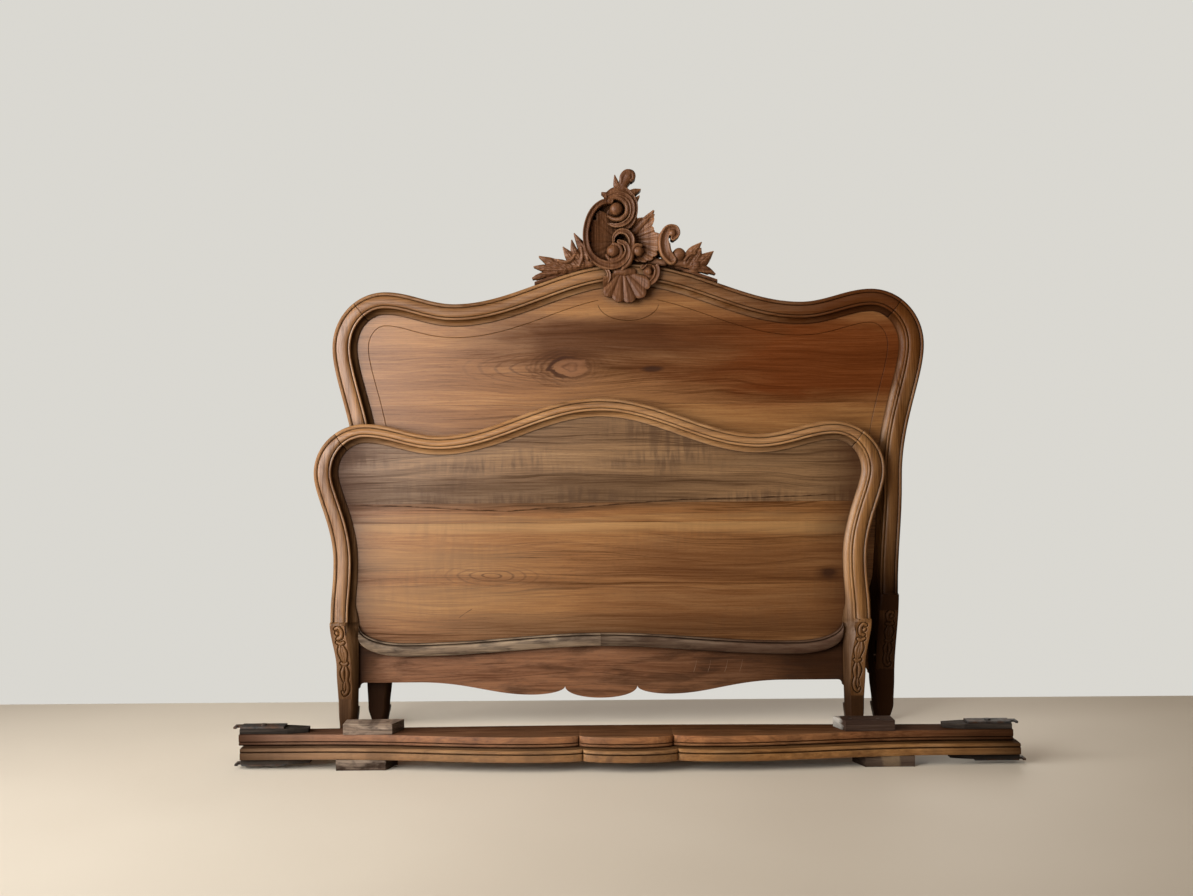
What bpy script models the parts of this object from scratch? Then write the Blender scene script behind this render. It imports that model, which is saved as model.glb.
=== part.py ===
"""A period double bed in walnut, taken apart: the headboard stands at the back, the footboard leans on its
front, and the two side rails lie stacked on the floor before them. Metres, +Z up, fronts facing -Y."""

import math
from collections import namedtuple

import bmesh
import bpy
from mathutils import Matrix, Vector
from mathutils.geometry import interpolate_bezier

MM = 0.001
FIT = 0.0003  # gap between pieces that touch

# The bed as it is used
MATTRESS_WIDTH = 1.40
SIDE_CLEARANCE = 0.020  # from the mattress to the inner face of a side rail
RAIL_LENGTH = 1.94  # a side rail from headboard to footboard
HOOK_HEIGHT = 0.200  # of the rail hooks above the floor

# Frame section, measured from the panel's front face
FRAME_BACK = 0.020
LEG_FRONT = 0.026
LEG_BACK = 0.022
LEG_EDGE = 0.004  # rounding of a leg's corners
RABBET = 0.010  # how far the panel reaches behind the frame
LEDGE_SLOPE = 0.004  # height over which a moulded post steps out to its leg
RABBET_STEP = 0.001  # height over which the rabbet begins in a leg
BAND_RELIEF = 0.023  # the broad convex band of the moulding
OUTER_BEAD = ((0.000, 0.012), (0.004, 0.019), (0.010, 0.019), (0.012, 0.016), (0.015, 0.020))
INNER_BEAD = ((0.024, 0.021), (0.021, 0.018), (0.015, 0.019), (0.010, 0.010), (0.000, 0.003))

# Panels and their planks
PANEL_THICKNESS = 0.018
BOTTOM_RAIL_THICKNESS = 0.022

# Headboard: reach beyond the mattress edge (OUT) or inside it (IN), and heights above the floor
HEADBOARD_FOOT_OUT = 0.041
HEADBOARD_FOOT_IN = -0.002
HEADBOARD_KNEE_OUT = 0.053
HEADBOARD_KNEE_IN = 0.006
HEADBOARD_KNEE_HEIGHT = 0.050
HEADBOARD_LEG_OUT = 0.056
HEADBOARD_LEG_IN = 0.013
HEADBOARD_LEG_HEIGHT = 0.130
HEADBOARD_LEDGE_OUT = 0.071
HEADBOARD_LEDGE_HEIGHT = 0.366
HEADBOARD_WAIST_OUT = 0.085
HEADBOARD_WAIST_HEIGHT = 0.700
HEADBOARD_WIDEST_OUT = 0.151
HEADBOARD_WIDEST_HEIGHT = 1.081
HEADBOARD_SHOULDER_IN = 0.001
HEADBOARD_SHOULDER_HEIGHT = 1.242
HEADBOARD_VALLEY_IN = 0.202
HEADBOARD_VALLEY_HEIGHT = 1.206
HEADBOARD_CROWN_HEIGHT = 1.320
HEADBOARD_POST_WIDTH = 0.070
HEADBOARD_RAIL_WIDTH = 0.064
HEADBOARD_FACET = 0.006  # chamfer along the inner front corner of a leg
HEADBOARD_BOTTOM_RAIL_LOW = 0.153
HEADBOARD_BOTTOM_RAIL_TOP = 0.248
HEADBOARD_BRACKET = 0.020  # curved corner where the bottom rail meets a leg
HEADBOARD_SEAMS = (0.450, 0.660, 0.915)

# Footboard
FOOTBOARD_FOOT_OUT = 0.037
FOOTBOARD_FOOT_IN = 0.007
FOOTBOARD_KNEE_OUT = 0.040
FOOTBOARD_KNEE_IN = 0.012
FOOTBOARD_KNEE_HEIGHT = 0.060
FOOTBOARD_LEG_OUT = 0.046
FOOTBOARD_LEG_IN = 0.014
FOOTBOARD_LEG_HEIGHT = 0.170
FOOTBOARD_LEDGE_OUT = 0.066
FOOTBOARD_LEDGE_HEIGHT = 0.302
FOOTBOARD_WAIST_OUT = 0.057
FOOTBOARD_WAIST_HEIGHT = 0.470
FOOTBOARD_WIDEST_OUT = 0.113
FOOTBOARD_WIDEST_HEIGHT = 0.722
FOOTBOARD_SHOULDER_IN = 0.033
FOOTBOARD_SHOULDER_HEIGHT = 0.862
FOOTBOARD_VALLEY_IN = 0.245
FOOTBOARD_VALLEY_HEIGHT = 0.826
FOOTBOARD_CROWN_HEIGHT = 0.932
FOOTBOARD_POST_WIDTH = 0.068
FOOTBOARD_RAIL_WIDTH = 0.054
FOOTBOARD_FACET = 0.016
FOOTBOARD_SEAMS = (0.400, 0.577, 0.634)
APRON_TOP = 0.2325
APRON_LOW = 0.128  # its straight lower edge near the legs
APRON_BRACKET = 0.016
APRON_CENTRE_DROP = 0.047  # lobes and cusps below the straight edge
APRON_CUSP_X = 0.1025
APRON_CUSP_DROP = 0.0135
APRON_LOBE_X = 0.195
APRON_LOBE_DROP = 0.037
APRON_FLAT_X = 0.520

# Pale moulding over the joint of footboard panel and apron
STRIP_CENTRE_TOP = 0.265
STRIP_DIP_IN = 0.150  # its lowest point, from the mattress edge
STRIP_DIP_TOP = 0.239
STRIP_END_TOP = 0.290
STRIP_HEIGHT = 0.037
STRIP_SECTION = ((0.0, 0.008), (0.12, 0.017), (0.30, 0.020), (0.55, 0.018), (0.80, 0.011), (1.0, 0.005))

# Joints inside the boards
SHOULDER_JOINT = 6  # step of the shoulder's curve where post and top rail meet
TENON_LENGTH = 0.060
TENON_WIDTH = 0.024
TENON_THICKNESS = 0.010
DOWEL_RADIUS = 0.005
DOWEL_LENGTH = 0.044
DOWEL_X = 0.040
SLOT_WIDTH = 0.009
SLOT_HEIGHT = 0.064
SLOT_DEPTH = 0.020
PIN_RADIUS = 0.003
PIN_DEPTH = 0.006  # behind the leg's face
PIN_LENGTH = 0.022
PIN_LEDGE = 0.0035  # how far the pin enters the thin wall of the slot
PIN_DROP = 0.010  # below the slot's middle

# Side rails
RAIL_THICKNESS = 0.028
RAIL_END_HEIGHT = 0.072
RAIL_ARCH = 0.020  # rise of the upper edge at mid length
RAIL_CENTRE_DROP = 0.060
RAIL_CUSP_X = 0.117
RAIL_CUSP_DROP = 0.030
RAIL_LOBE_X = 0.235
RAIL_LOBE_DROP = 0.050
RAIL_FLAT_X = 0.800
LOWER_RAIL_CLEAT_LEFT = 0.658  # middle of each cleat from mid length
LOWER_RAIL_CLEAT_RIGHT = 0.633
UPPER_RAIL_CLEAT_LEFT = 0.600
UPPER_RAIL_CLEAT_RIGHT = 0.635
CLEAT_LENGTH = 0.145
CLEAT_BEVEL = 0.022  # slant of the cleat's end that faces mid length
CLEAT_DEPTH = 0.060
CLEAT_THICKNESS = 0.026
CLEAT_SET = -0.002  # of the cleat's outer end behind the rail's lower edge
CLEAT_SCREW_SPACING = 0.070
CLEAT_SCREW_LENGTH = 0.038
SCREW_RADIUS = 0.0025
SCREW_HEAD_RADIUS = 0.005
SCREW_HEAD_HEIGHT = 0.003
END_BLOCK_LENGTH = 0.170
END_BLOCK_TAPER = 0.050
END_BLOCK_HEIGHT = 0.052
END_BLOCK_THICKNESS = 0.012
HOOK_THICKNESS = 0.005
HOOK_LENGTH = 0.110
HOOK_PLATE_HEIGHT = 0.042
HOOK_REACH = 0.017  # beyond the rail's end
HOOK_ARM = 0.018
HOOK_TIP = 0.007
HOOK_TIP_DROP = 0.014
BOLT_RADIUS = 0.0035
BOLT_HEAD_RADIUS = 0.008
BOLT_HEAD_HEIGHT = 0.003
BOLT_LENGTH = 0.036

# How the pieces stand together on the floor
HEADBOARD_X = 0.020
FOOTBOARD_X = -0.065
FOOTBOARD_STANDOFF = 0.024  # between the legs of the two boards, at the floor
LOWER_RAIL_X = 0.005
UPPER_RAIL_X = -0.005
RAIL_SETBACK = 0.030  # of the upper rail behind the lower one
RAIL_DISTANCE = 0.360  # from the footboard's legs to the upper rail

# Crest carving: strokes of (x, height, radius) in millimetres; heights are above the crown, and for the
# leaf sprays above the rail's edge at that x
CREST_DEPTH = 0.006  # of the strokes' middle in front of the panel's face
PENDANT_DEPTH = 0.004  # of the pendant's middle in front of the rail's face
CREST_SLAB = 0.030
CREST_SLAB_BACK = 0.018
CREST_SCROLLS = (
    ((-20, 134, 6), (-3, 151, 6), (-14, 174, 7), (-43, 183, 8), (-75, 168, 9), (-99, 139, 9),
     (-113, 101, 9), (-116, 64, 9), (-104, 26, 9), (-78, 2, 9), (-46, -8, 9), (-17, 0, 8),
     (-3, 20, 7), (-14, 46, 6), (-35, 52, 6)),
    ((-20, 152, 13), (-19, 152, 13)),
    ((-32, 32, 13), (-31, 32, 13)),
    ((146, 74, 7), (145, 84, 10), (130, 93, 10), (114, 88, 10), (107, 60, 11), (114, 26, 11), (138, 8, 11)),
    ((40, 30, 14), (41, 30, 14)),
    ((-64, 196, 4), (-45, 198, 10), (-14, 204, 15), (18, 196, 14), (36, 180, 12), (34, 140, 10),
     (20, 122, 9)),
    ((18, 192, 10), (46, 205, 4)),
    ((-6, 200, 12), (-8, 222, 10), (2, 246, 10), (14, 257, 12), (26, 250, 8)),
    ((-12, 216, 8), (-26, 252, 3)),
    ((26, 120, 12), (60, 138, 10), (88, 151, 3)),
    ((60, 90, 14), (90, 100, 10), (108, 106, 4)),
)
CREST_SLAB_OUTLINE = (
    (-92, 130), (-60, 160), (-8, 172), (28, 150), (64, 122), (100, 92), (104, 40), (84, -8),
    (40, -22), (-30, -22), (-84, 10), (-104, 70),
)
CREST_LEFT_SPRAY = (
    ((-136, 6, 13), (-156, 6, 13), (-182, 6, 13), (-228, 6, 12), (-262, 5, 9), (-276, 4, 6)),
    ((-136, 10, 14), (-144, 68, 11), (-148, 107, 4)),
    ((-150, 10, 13), (-168, 58, 10), (-178, 75, 4)),
    ((-206, 8, 13), (-232, 52, 10), (-246, 73, 4)),
    ((-238, 8, 11), (-262, 49, 5)),
)
CREST_RIGHT_SPRAY = (
    ((170, 6, 12), (190, 6, 12), (222, 6, 12), (250, 6, 9), (266, 5, 6)),
    ((168, 10, 12), (176, 38, 14), (188, 22, 12)),
    ((196, 10, 12), (212, 70, 10), (222, 102, 4)),
    ((224, 10, 12), (244, 63, 9), (258, 89, 4)),
    ((246, 8, 9), (264, 27, 4)),
)
PENDANT_PETALS = (
    ((0, -24, 8), (-30, -40, 10), (-52, -62, 7)),
    ((0, -24, 8), (-18, -62, 11), (-30, -88, 8)),
    ((0, -24, 8), (4, -70, 12), (10, -102, 8)),
    ((0, -24, 8), (26, -62, 11), (44, -92, 7)),
    ((6, -24, 8), (36, -44, 10), (62, -66, 7)),
    ((-46, -20, 7), (0, -14, 11), (48, -16, 9), (76, -34, 17), (70, -56, 8)),
)
CARVING_VOXEL = 0.005
CARVING_DETAIL = 0.18  # share of the faces that the carving keeps

# Steps along each stretch of a board's edge
LEG_STEPS = 3
LEDGE_STEPS = 3
SIDE_STEPS = 8
SHOULDER_STEPS = 10
VALLEY_STEPS = 6
CROWN_STEPS = 8
BRACKET_STEPS = 4
SCALLOP_STEPS = 6
STRIP_STEPS = 8
STRIP_END_STEPS = 6
ARCH_STEPS = 6
ROUND_STEPS = 12
BALL_STEPS = 8
STROKE_STEPS = 4
STROKE_SIDE_STEPS = 2

# Handle lengths of the curves, as shares of the stretch they belong to
ROUND_ARC = 0.5523  # a quarter circle
LEDGE_HANDLE = 0.40
WAIST_HANDLE = 0.42
WIDEST_HANDLE = 0.25
VALLEY_HANDLE = 0.36
RISE_HANDLE = 0.34
CROWN_HANDLE = 0.38
LOBE_HANDLE = 0.55
CUSP_HANDLE = 0.60
SIDE_LOBE_HANDLE = 0.50
RUN_HANDLE = 0.35
FLAT_HANDLE = 0.45
STRIP_HANDLE = 0.35
STRIP_DIP_HANDLE = 0.40
STRIP_TURN_HANDLE = 0.75
ARCH_HANDLE = 0.40
CREASE_ANGLE = 35  # degrees beyond which an edge stays crisp

Board = namedtuple(
    "Board",
    "name foot_out foot_in knee_out knee_in knee_height leg_out leg_in leg_height ledge_out ledge_height "
    "waist_out waist_height widest_out widest_height shoulder_in shoulder_height valley_in valley_height "
    "crown_height post_width rail_width facet",
)
Station = namedtuple("Station", "point inward width moulded rabbeted")
Paint = namedtuple("Paint", "colour roughness metallic")

WALNUT = Paint((0.30, 0.17, 0.085), 0.45, 0.0)
PANEL_WALNUT = Paint((0.26, 0.14, 0.07), 0.40, 0.0)
CARVED_WALNUT = Paint((0.38, 0.24, 0.13), 0.55, 0.0)
PALE_WOOD = Paint((0.45, 0.36, 0.25), 0.65, 0.0)
RAW_WOOD = Paint((0.48, 0.34, 0.20), 0.75, 0.0)
DARK_WOOD = Paint((0.06, 0.04, 0.03), 0.80, 0.0)
IRON = Paint((0.05, 0.045, 0.04), 0.60, 0.9)


def clear_scene():
    for obj in list(bpy.data.objects):
        bpy.data.objects.remove(obj, do_unlink=True)


def new_collection(name):
    collection = bpy.data.collections.new(name)
    bpy.context.scene.collection.children.link(collection)
    return collection


def link(name, data):
    obj = bpy.data.objects.new(name, data)
    PARTS.objects.link(obj)
    return obj


def finish(obj, paint, parent):
    """Gives a piece its own material and its place under the assembly it belongs to."""
    material = bpy.data.materials.new(obj.name)
    material.use_nodes = True
    shader = material.node_tree.nodes["Principled BSDF"]
    shader.inputs["Base Color"].default_value = (*paint.colour, 1)
    shader.inputs["Roughness"].default_value = paint.roughness
    shader.inputs["Metallic"].default_value = paint.metallic
    obj.data.materials.clear()
    obj.data.materials.append(material)
    obj.parent = parent
    return obj


def soften(mesh):
    mesh.shade_smooth()
    mesh.set_sharp_from_angle(angle=math.radians(CREASE_ANGLE))


def mesh_object(name, bm):
    """An object from a bmesh, with its faces pointing out."""
    bmesh.ops.recalc_face_normals(bm, faces=bm.faces)
    mesh = bpy.data.meshes.new(name)
    bm.to_mesh(mesh)
    bm.free()
    return link(name, mesh)


def ring_solid(name, rings):
    """A solid lofted through closed rings of equally many points, capped at both ends."""
    bm = bmesh.new()
    loops = [[bm.verts.new(point) for point in ring] for ring in rings]
    count = len(rings[0])
    for near, far in zip(loops, loops[1:]):
        for i in range(count):
            j = (i + 1) % count
            bm.faces.new((near[i], near[j], far[j], far[i]))
    bm.faces.new(loops[0])
    bm.faces.new(loops[-1])
    obj = mesh_object(name, bm)
    soften(obj.data)
    return obj


def as_mesh(curve):
    """The curve object replaced by its mesh, with the caps welded."""
    bpy.context.view_layer.update()
    evaluated = curve.evaluated_get(bpy.context.evaluated_depsgraph_get())
    mesh = bpy.data.meshes.new_from_object(evaluated)
    bm = bmesh.new()
    bm.from_mesh(mesh)
    bmesh.ops.remove_doubles(bm, verts=bm.verts, dist=0.00001)
    bmesh.ops.transform(bm, matrix=curve.matrix_world, verts=bm.verts)
    name = curve.name
    bpy.data.objects.remove(curve, do_unlink=True)
    return mesh_object(name, bm)


def plate(name, outline, front, thickness):
    """A flat piece standing in the XZ plane: the outline filled, its front face at this Y."""
    curve = bpy.data.curves.new(name, "CURVE")
    curve.dimensions = "2D"
    curve.fill_mode = "BOTH"
    curve.extrude = thickness / 2
    spline = curve.splines.new("POLY")
    spline.points.add(len(outline) - 1)
    for point, (x, z) in zip(spline.points, outline):
        point.co = (x, z, 0, 1)
    spline.use_cyclic_u = True
    obj = link(name, curve)
    obj.rotation_euler = (math.radians(90), 0, 0)
    obj.location = (0, front + thickness / 2, 0)
    return as_mesh(obj)


def box(name, low, high):
    bm = bmesh.new()
    size = Vector(high) - Vector(low)
    bmesh.ops.create_cube(bm, size=1)
    bmesh.ops.scale(bm, vec=size, verts=bm.verts)
    bmesh.ops.translate(bm, vec=Vector(low) + size / 2, verts=bm.verts)
    return mesh_object(name, bm)


def cylinder(name, start, end, radius):
    bm = bmesh.new()
    start, end = Vector(start), Vector(end)
    axis = end - start
    turn = axis.to_track_quat("Z", "Y").to_matrix().to_4x4()
    bmesh.ops.create_cone(
        bm, cap_ends=True, segments=ROUND_STEPS, radius1=radius, radius2=radius, depth=axis.length,
        matrix=Matrix.Translation((start + end) / 2) @ turn,
    )
    obj = mesh_object(name, bm)
    soften(obj.data)
    return obj


def headed(name, seat, direction, radius, length, head_radius, head_height):
    """A screw or bolt: the head's underside at the seat, the shank running on in the direction."""
    profile = (
        (0, head_height), (head_radius, head_height), (head_radius, 0), (radius, 0),
        (radius, -length), (0, -length),
    )
    bm = bmesh.new()
    corners = [bm.verts.new((x, 0, z)) for x, z in profile]
    for upper, lower in zip(corners, corners[1:]):
        bm.edges.new((upper, lower))
    mesh = bpy.data.meshes.new(name)
    bm.to_mesh(mesh)
    bm.free()
    obj = link(name, mesh)
    screw = obj.modifiers.new("turn", "SCREW")
    screw.steps = ROUND_STEPS
    screw.render_steps = ROUND_STEPS
    screw.use_merge_vertices = True
    screw.merge_threshold = 0.0001
    obj.rotation_mode = "QUATERNION"
    obj.rotation_quaternion = (-Vector(direction)).to_track_quat("Z", "Y")
    obj.location = seat
    return obj


def cut(obj, cutter):
    """Takes the cutter's shape out of the object; the cutter stays as a hidden helper."""
    PARTS.objects.unlink(cutter)
    CUTTERS.objects.link(cutter)
    cutter.hide_render = True
    cutter.display_type = "WIRE"
    cutter.parent = obj.parent
    boolean = obj.modifiers.new("cut", "BOOLEAN")
    boolean.operation = "DIFFERENCE"
    boolean.solver = "EXACT"
    boolean.object = cutter


def smooth_step(share):
    return share * share * (3 - 2 * share)


def bend(start, end, leave, arrive, steps):
    """Points of a curve from start to end, given the handle vectors at its two ends."""
    start, end = Vector(start), Vector(end)
    handles = start + Vector(leave), end - Vector(arrive)
    return interpolate_bezier(start, handles[0], handles[1], end, steps + 1)


def upright(start, end, share):
    return (0, (end[1] - start[1]) * share)


def level(start, end, share):
    return ((end[0] - start[0]) * share, 0)


def leg_stations(board):
    """Stations up the right leg, from the floor to the ledge under the moulding."""
    half = MATTRESS_WIDTH / 2
    stops = (
        (0.0, board.foot_out, board.foot_in),
        (board.knee_height, board.knee_out, board.knee_in),
        (board.leg_height, board.leg_out, board.leg_in),
        (board.ledge_height - LEDGE_SLOPE, board.ledge_out, board.leg_in),
    )
    stations = []
    for (low, out, inside), (high, next_out, next_in) in zip(stops, stops[1:]):
        rabbeted = low >= board.knee_height
        first = 0 if not stations else 1
        if rabbeted and not stations[-1].rabbeted:
            last = stations[-1]
            step = Vector((last.point.x, last.point.y + RABBET_STEP))
            stations.append(Station(step, last.inward, last.width, False, True))
        for step in range(first, LEG_STEPS + 1):
            share = step / LEG_STEPS
            eased = smooth_step(share)
            reach = out + (next_out - out) * eased
            width = reach + inside + (next_in - inside) * eased
            point = Vector((half + reach, low + (high - low) * share))
            stations.append(Station(point, Vector((-1, 0)), width, False, rabbeted))
    return stations


def edge_spans(board):
    """The stretches of a moulded edge, ledge to crown: start, end, handles, steps and the widths there."""
    half = MATTRESS_WIDTH / 2
    ledge = (half + board.ledge_out, board.ledge_height)
    waist = (half + board.waist_out, board.waist_height)
    widest = (half + board.widest_out, board.widest_height)
    shoulder = (half - board.shoulder_in, board.shoulder_height)
    valley = (half - board.valley_in, board.valley_height)
    crown = (0, board.crown_height)
    post, rail = board.post_width, board.rail_width
    return (
        (ledge, waist, upright(ledge, waist, LEDGE_HANDLE), upright(ledge, waist, LEDGE_HANDLE),
         LEDGE_STEPS, post, post),
        (waist, widest, upright(waist, widest, WAIST_HANDLE), upright(waist, widest, WIDEST_HANDLE),
         SIDE_STEPS, post, post),
        (widest, shoulder, upright(widest, shoulder, ROUND_ARC), level(widest, shoulder, ROUND_ARC),
         SHOULDER_STEPS, post, rail),
        (shoulder, valley, level(shoulder, valley, VALLEY_HANDLE), level(shoulder, valley, VALLEY_HANDLE),
         VALLEY_STEPS, rail, rail),
        (valley, crown, level(valley, crown, RISE_HANDLE), level(valley, crown, CROWN_HANDLE),
         CROWN_STEPS, rail, rail),
    )


def moulded_stations(board):
    """Stations along the right half of a board's moulded frame, from the ledge to the crown."""
    points, widths = [], []
    for start, end, leave, arrive, steps, width, next_width in edge_spans(board):
        for step, point in enumerate(bend(start, end, leave, arrive, steps)):
            if points and step == 0:
                continue
            points.append(point)
            widths.append(width + (next_width - width) * smooth_step(step / steps))
    stations = []
    last = len(points) - 1
    for i, point in enumerate(points):
        along = points[min(i + 1, last)] - points[max(i - 1, 0)]
        if i in (0, last):
            along = Vector((0, 1)) if i == 0 else Vector((-1, 0))
        along.normalize()
        stations.append(Station(point, Vector((-along.y, along.x)), widths[i], True, True))
    return stations


def moulding_section(width):
    """(distance from the outer edge, Y) around the frame's section."""
    section = [(0, FRAME_BACK)]
    section += [(d, -rise) for d, rise in OUTER_BEAD]
    section.append((width / 2, -BAND_RELIEF))
    section += [(width - d, -rise) for d, rise in INNER_BEAD]
    section += [(width, 0), (width - RABBET, 0), (width - RABBET, FRAME_BACK)]
    return section


def leg_section(width, facet, rabbeted):
    """The leg's section, with as many points as the moulding's so that the two loft together."""
    front = -LEG_FRONT
    face = width - LEG_EDGE - facet
    section = [(0, LEG_BACK), (0, front + LEG_EDGE)]
    section += [(LEG_EDGE + face * share, front) for share in (0, 0.15, 0.30, 0.45, 0.60, 0.75, 0.90, 1)]
    section += [(width, front + facet), (width, -LEG_EDGE)]
    if rabbeted:
        section += [(width, 0), (width - RABBET, 0), (width - RABBET, LEG_BACK)]
    else:
        section += [(width, LEG_BACK * share) for share in (0.3, 0.6, 1)]
    return section


def ring(station, board, side, shift=0.0):
    """One ring of a post or rail: side is 1 on the right and -1 on the left, shift moves it along."""
    if station.moulded:
        section = moulding_section(station.width)
    else:
        section = leg_section(station.width, board.facet, station.rabbeted)
    along = Vector((station.inward.y, -station.inward.x))
    base = station.point + along * shift
    points = [(base + station.inward * d, y) for d, y in section]
    return [(side * point.x, y, point.y) for point, y in points]


def joint_index():
    return LEDGE_STEPS + SIDE_STEPS + SHOULDER_JOINT


def tenon_frame(board, side):
    """Place and directions of the loose tenon across a shoulder joint: middle, along the edge, inwards."""
    station = moulded_stations(board)[joint_index()]
    middle = station.point + station.inward * (station.width / 2)
    along = Vector((station.inward.y, -station.inward.x))
    y = (FRAME_BACK - BAND_RELIEF) / 2
    return (
        Vector((side * middle.x, y, middle.y)),
        Vector((side * along.x, 0, along.y)),
        Vector((side * station.inward.x, 0, station.inward.y)),
    )


def tenon(name, board, side, room):
    """A loose tenon, or with room added the pocket for it."""
    middle, along, inwards = tenon_frame(board, side)
    obj = box(name, (-0.5, -0.5, -0.5), (0.5, 0.5, 0.5))
    size = Matrix.Diagonal((
        TENON_LENGTH + 2 * room, TENON_THICKNESS + 2 * room, TENON_WIDTH + 2 * room, 1,
    ))
    turn = Matrix((along, (0, 1, 0), inwards)).transposed().to_4x4()
    obj.data.transform(Matrix.Translation(middle) @ turn @ size)
    if turn.determinant() < 0:
        obj.data.flip_normals()
    return obj


def slot_x():
    """Middle of a rail hook from the bed's centre line."""
    return MATTRESS_WIDTH / 2 + SIDE_CLEARANCE - END_BLOCK_THICKNESS - 2 * FIT - HOOK_THICKNESS / 2


def slot_cutter(name, side, face, inwards):
    """The hook slot in a leg, from its face (a Y) inwards (+1 or -1)."""
    ends = sorted((face - inwards * SLOT_DEPTH / 2, face + inwards * SLOT_DEPTH))
    x = side * slot_x()
    return box(
        name,
        (x - SLOT_WIDTH / 2, ends[0], HOOK_HEIGHT - SLOT_HEIGHT / 2),
        (x + SLOT_WIDTH / 2, ends[1], HOOK_HEIGHT + SLOT_HEIGHT / 2),
    )


def hook_pin(name, side, face, inwards, room):
    """The pin across a hook slot, or with room added the hole for it."""
    inner = slot_x() - SLOT_WIDTH / 2 - PIN_LEDGE
    y = face + inwards * PIN_DEPTH
    z = HOOK_HEIGHT - PIN_DROP
    return cylinder(
        name, (side * (inner - room), y, z), (side * (inner + PIN_LENGTH + room), y, z), PIN_RADIUS + room
    )


def post(board, side, face, inwards, parent):
    """A leg and moulded stile in one timber, with its tenon pocket and hook slot, and the slot's pin."""
    word = "right" if side > 0 else "left"
    stations = leg_stations(board) + moulded_stations(board)[: joint_index() + 1]
    obj = ring_solid(f"{board.name}_post_{word}", [ring(station, board, side) for station in stations])
    finish(obj, WALNUT, parent)
    cut(obj, tenon(f"{obj.name}_pocket", board, side, FIT))
    cut(obj, slot_cutter(f"{obj.name}_slot", side, face, inwards))
    cut(obj, hook_pin(f"{obj.name}_pin_hole", side, face, inwards, FIT))
    finish(hook_pin(f"{board.name}_hook_pin_{word}", side, face, inwards, 0), IRON, parent)
    finish(tenon(f"{board.name}_shoulder_tenon_{word}", board, side, 0), RAW_WOOD, parent)
    return obj


def top_rail(board, parent):
    """The moulded rail from shoulder to shoulder over the crown."""
    half = moulded_stations(board)[joint_index():]
    rings = [ring(half[0], board, 1, FIT)]
    rings += [ring(station, board, 1) for station in half[1:]]
    rings += [ring(station, board, -1) for station in reversed(half[1:-1])]
    rings.append(ring(half[0], board, -1, FIT))
    obj = finish(ring_solid(f"{board.name}_top_rail", rings), WALNUT, parent)
    for side, word in ((1, "right"), (-1, "left")):
        cut(obj, tenon(f"{obj.name}_pocket_{word}", board, side, FIT))
    return obj


def panel_outline(board):
    """The edge of a board's panel inside its rabbet, right leg to left leg over the crown."""
    stations = [station for station in leg_stations(board) if station.rabbeted]
    stations += moulded_stations(board)
    right = [station.point + station.inward * (station.width - RABBET + FIT) for station in stations]
    left = [Vector((-point.x, point.y)) for point in reversed(right[:-1])]
    return right + left


def between(outline, low, high):
    """The part of a closed outline between two heights."""
    for height, sign in ((low, 1), (high, -1)):
        kept = []
        for start, end in zip(outline, outline[1:] + outline[:1]):
            above_start, above_end = sign * (start.y - height), sign * (end.y - height)
            if above_start >= 0:
                kept.append(start)
            if above_start * above_end < 0:
                kept.append(start.lerp(end, above_start / (above_start - above_end)))
        outline = kept
    return outline


def planks(board, bottom, seams, parent):
    """The panel, glued up from planks between the seams."""
    outline = panel_outline(board)
    heights = (bottom, *seams, board.crown_height)
    for number, (low, high) in enumerate(zip(heights, heights[1:]), 1):
        piece = between(outline, low + FIT, high)
        finish(plate(f"{board.name}_plank_{number}", piece, FIT, PANEL_THICKNESS), PANEL_WALNUT, parent)


def scalloped_half(end_x, drops):
    """Lower edge from mid length to the end: centre lobe, cusp, side lobe, straight run, as (x, drop)."""
    centre, cusp_x, cusp, lobe_x, lobe, flat_x = drops
    middle, notch, side, flat = (0, -centre), (cusp_x, -cusp), (lobe_x, -lobe), (flat_x, 0)
    stretches = (
        (middle, notch, level(middle, notch, LOBE_HANDLE), upright(middle, notch, CUSP_HANDLE)),
        (notch, side, upright(notch, side, CUSP_HANDLE), level(notch, side, SIDE_LOBE_HANDLE)),
        (side, flat, level(side, flat, RUN_HANDLE), level(side, flat, FLAT_HANDLE)),
    )
    points = [middle]
    for stretch in stretches:
        points += [tuple(point) for point in bend(*stretch, SCALLOP_STEPS)[1:]]
    return points + [(end_x, 0)]


def leg_inner(board):
    return MATTRESS_WIDTH / 2 - board.leg_in


def bracketed(board, low, bracket):
    """The corner where a rail's lower edge curves down to the leg, then runs on into the rabbet."""
    inner = leg_inner(board)
    start, end = (inner - bracket, low), (inner, low - bracket)
    corner = bend(start, end, level(start, end, ROUND_ARC), upright(start, end, ROUND_ARC), BRACKET_STEPS)
    return [tuple(point) for point in corner] + [(inner + RABBET - FIT, low - bracket)]


def mirrored(half, top):
    """A closed outline from the right half of a lower edge and a straight upper edge."""
    left = [(-x, z) for x, z in half if x > 0]
    return [Vector(point) for point in reversed(left)] + [Vector(point) for point in half] + [
        Vector((half[-1][0], top)), Vector((-half[-1][0], top)),
    ]


def headboard_bottom_rail(parent):
    half = [(0, HEADBOARD_BOTTOM_RAIL_LOW)]
    half += bracketed(HEADBOARD, HEADBOARD_BOTTOM_RAIL_LOW, HEADBOARD_BRACKET)
    outline = mirrored(half, HEADBOARD_BOTTOM_RAIL_TOP)
    finish(plate("headboard_bottom_rail", outline, FIT, BOTTOM_RAIL_THICKNESS - FIT), WALNUT, parent)


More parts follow.
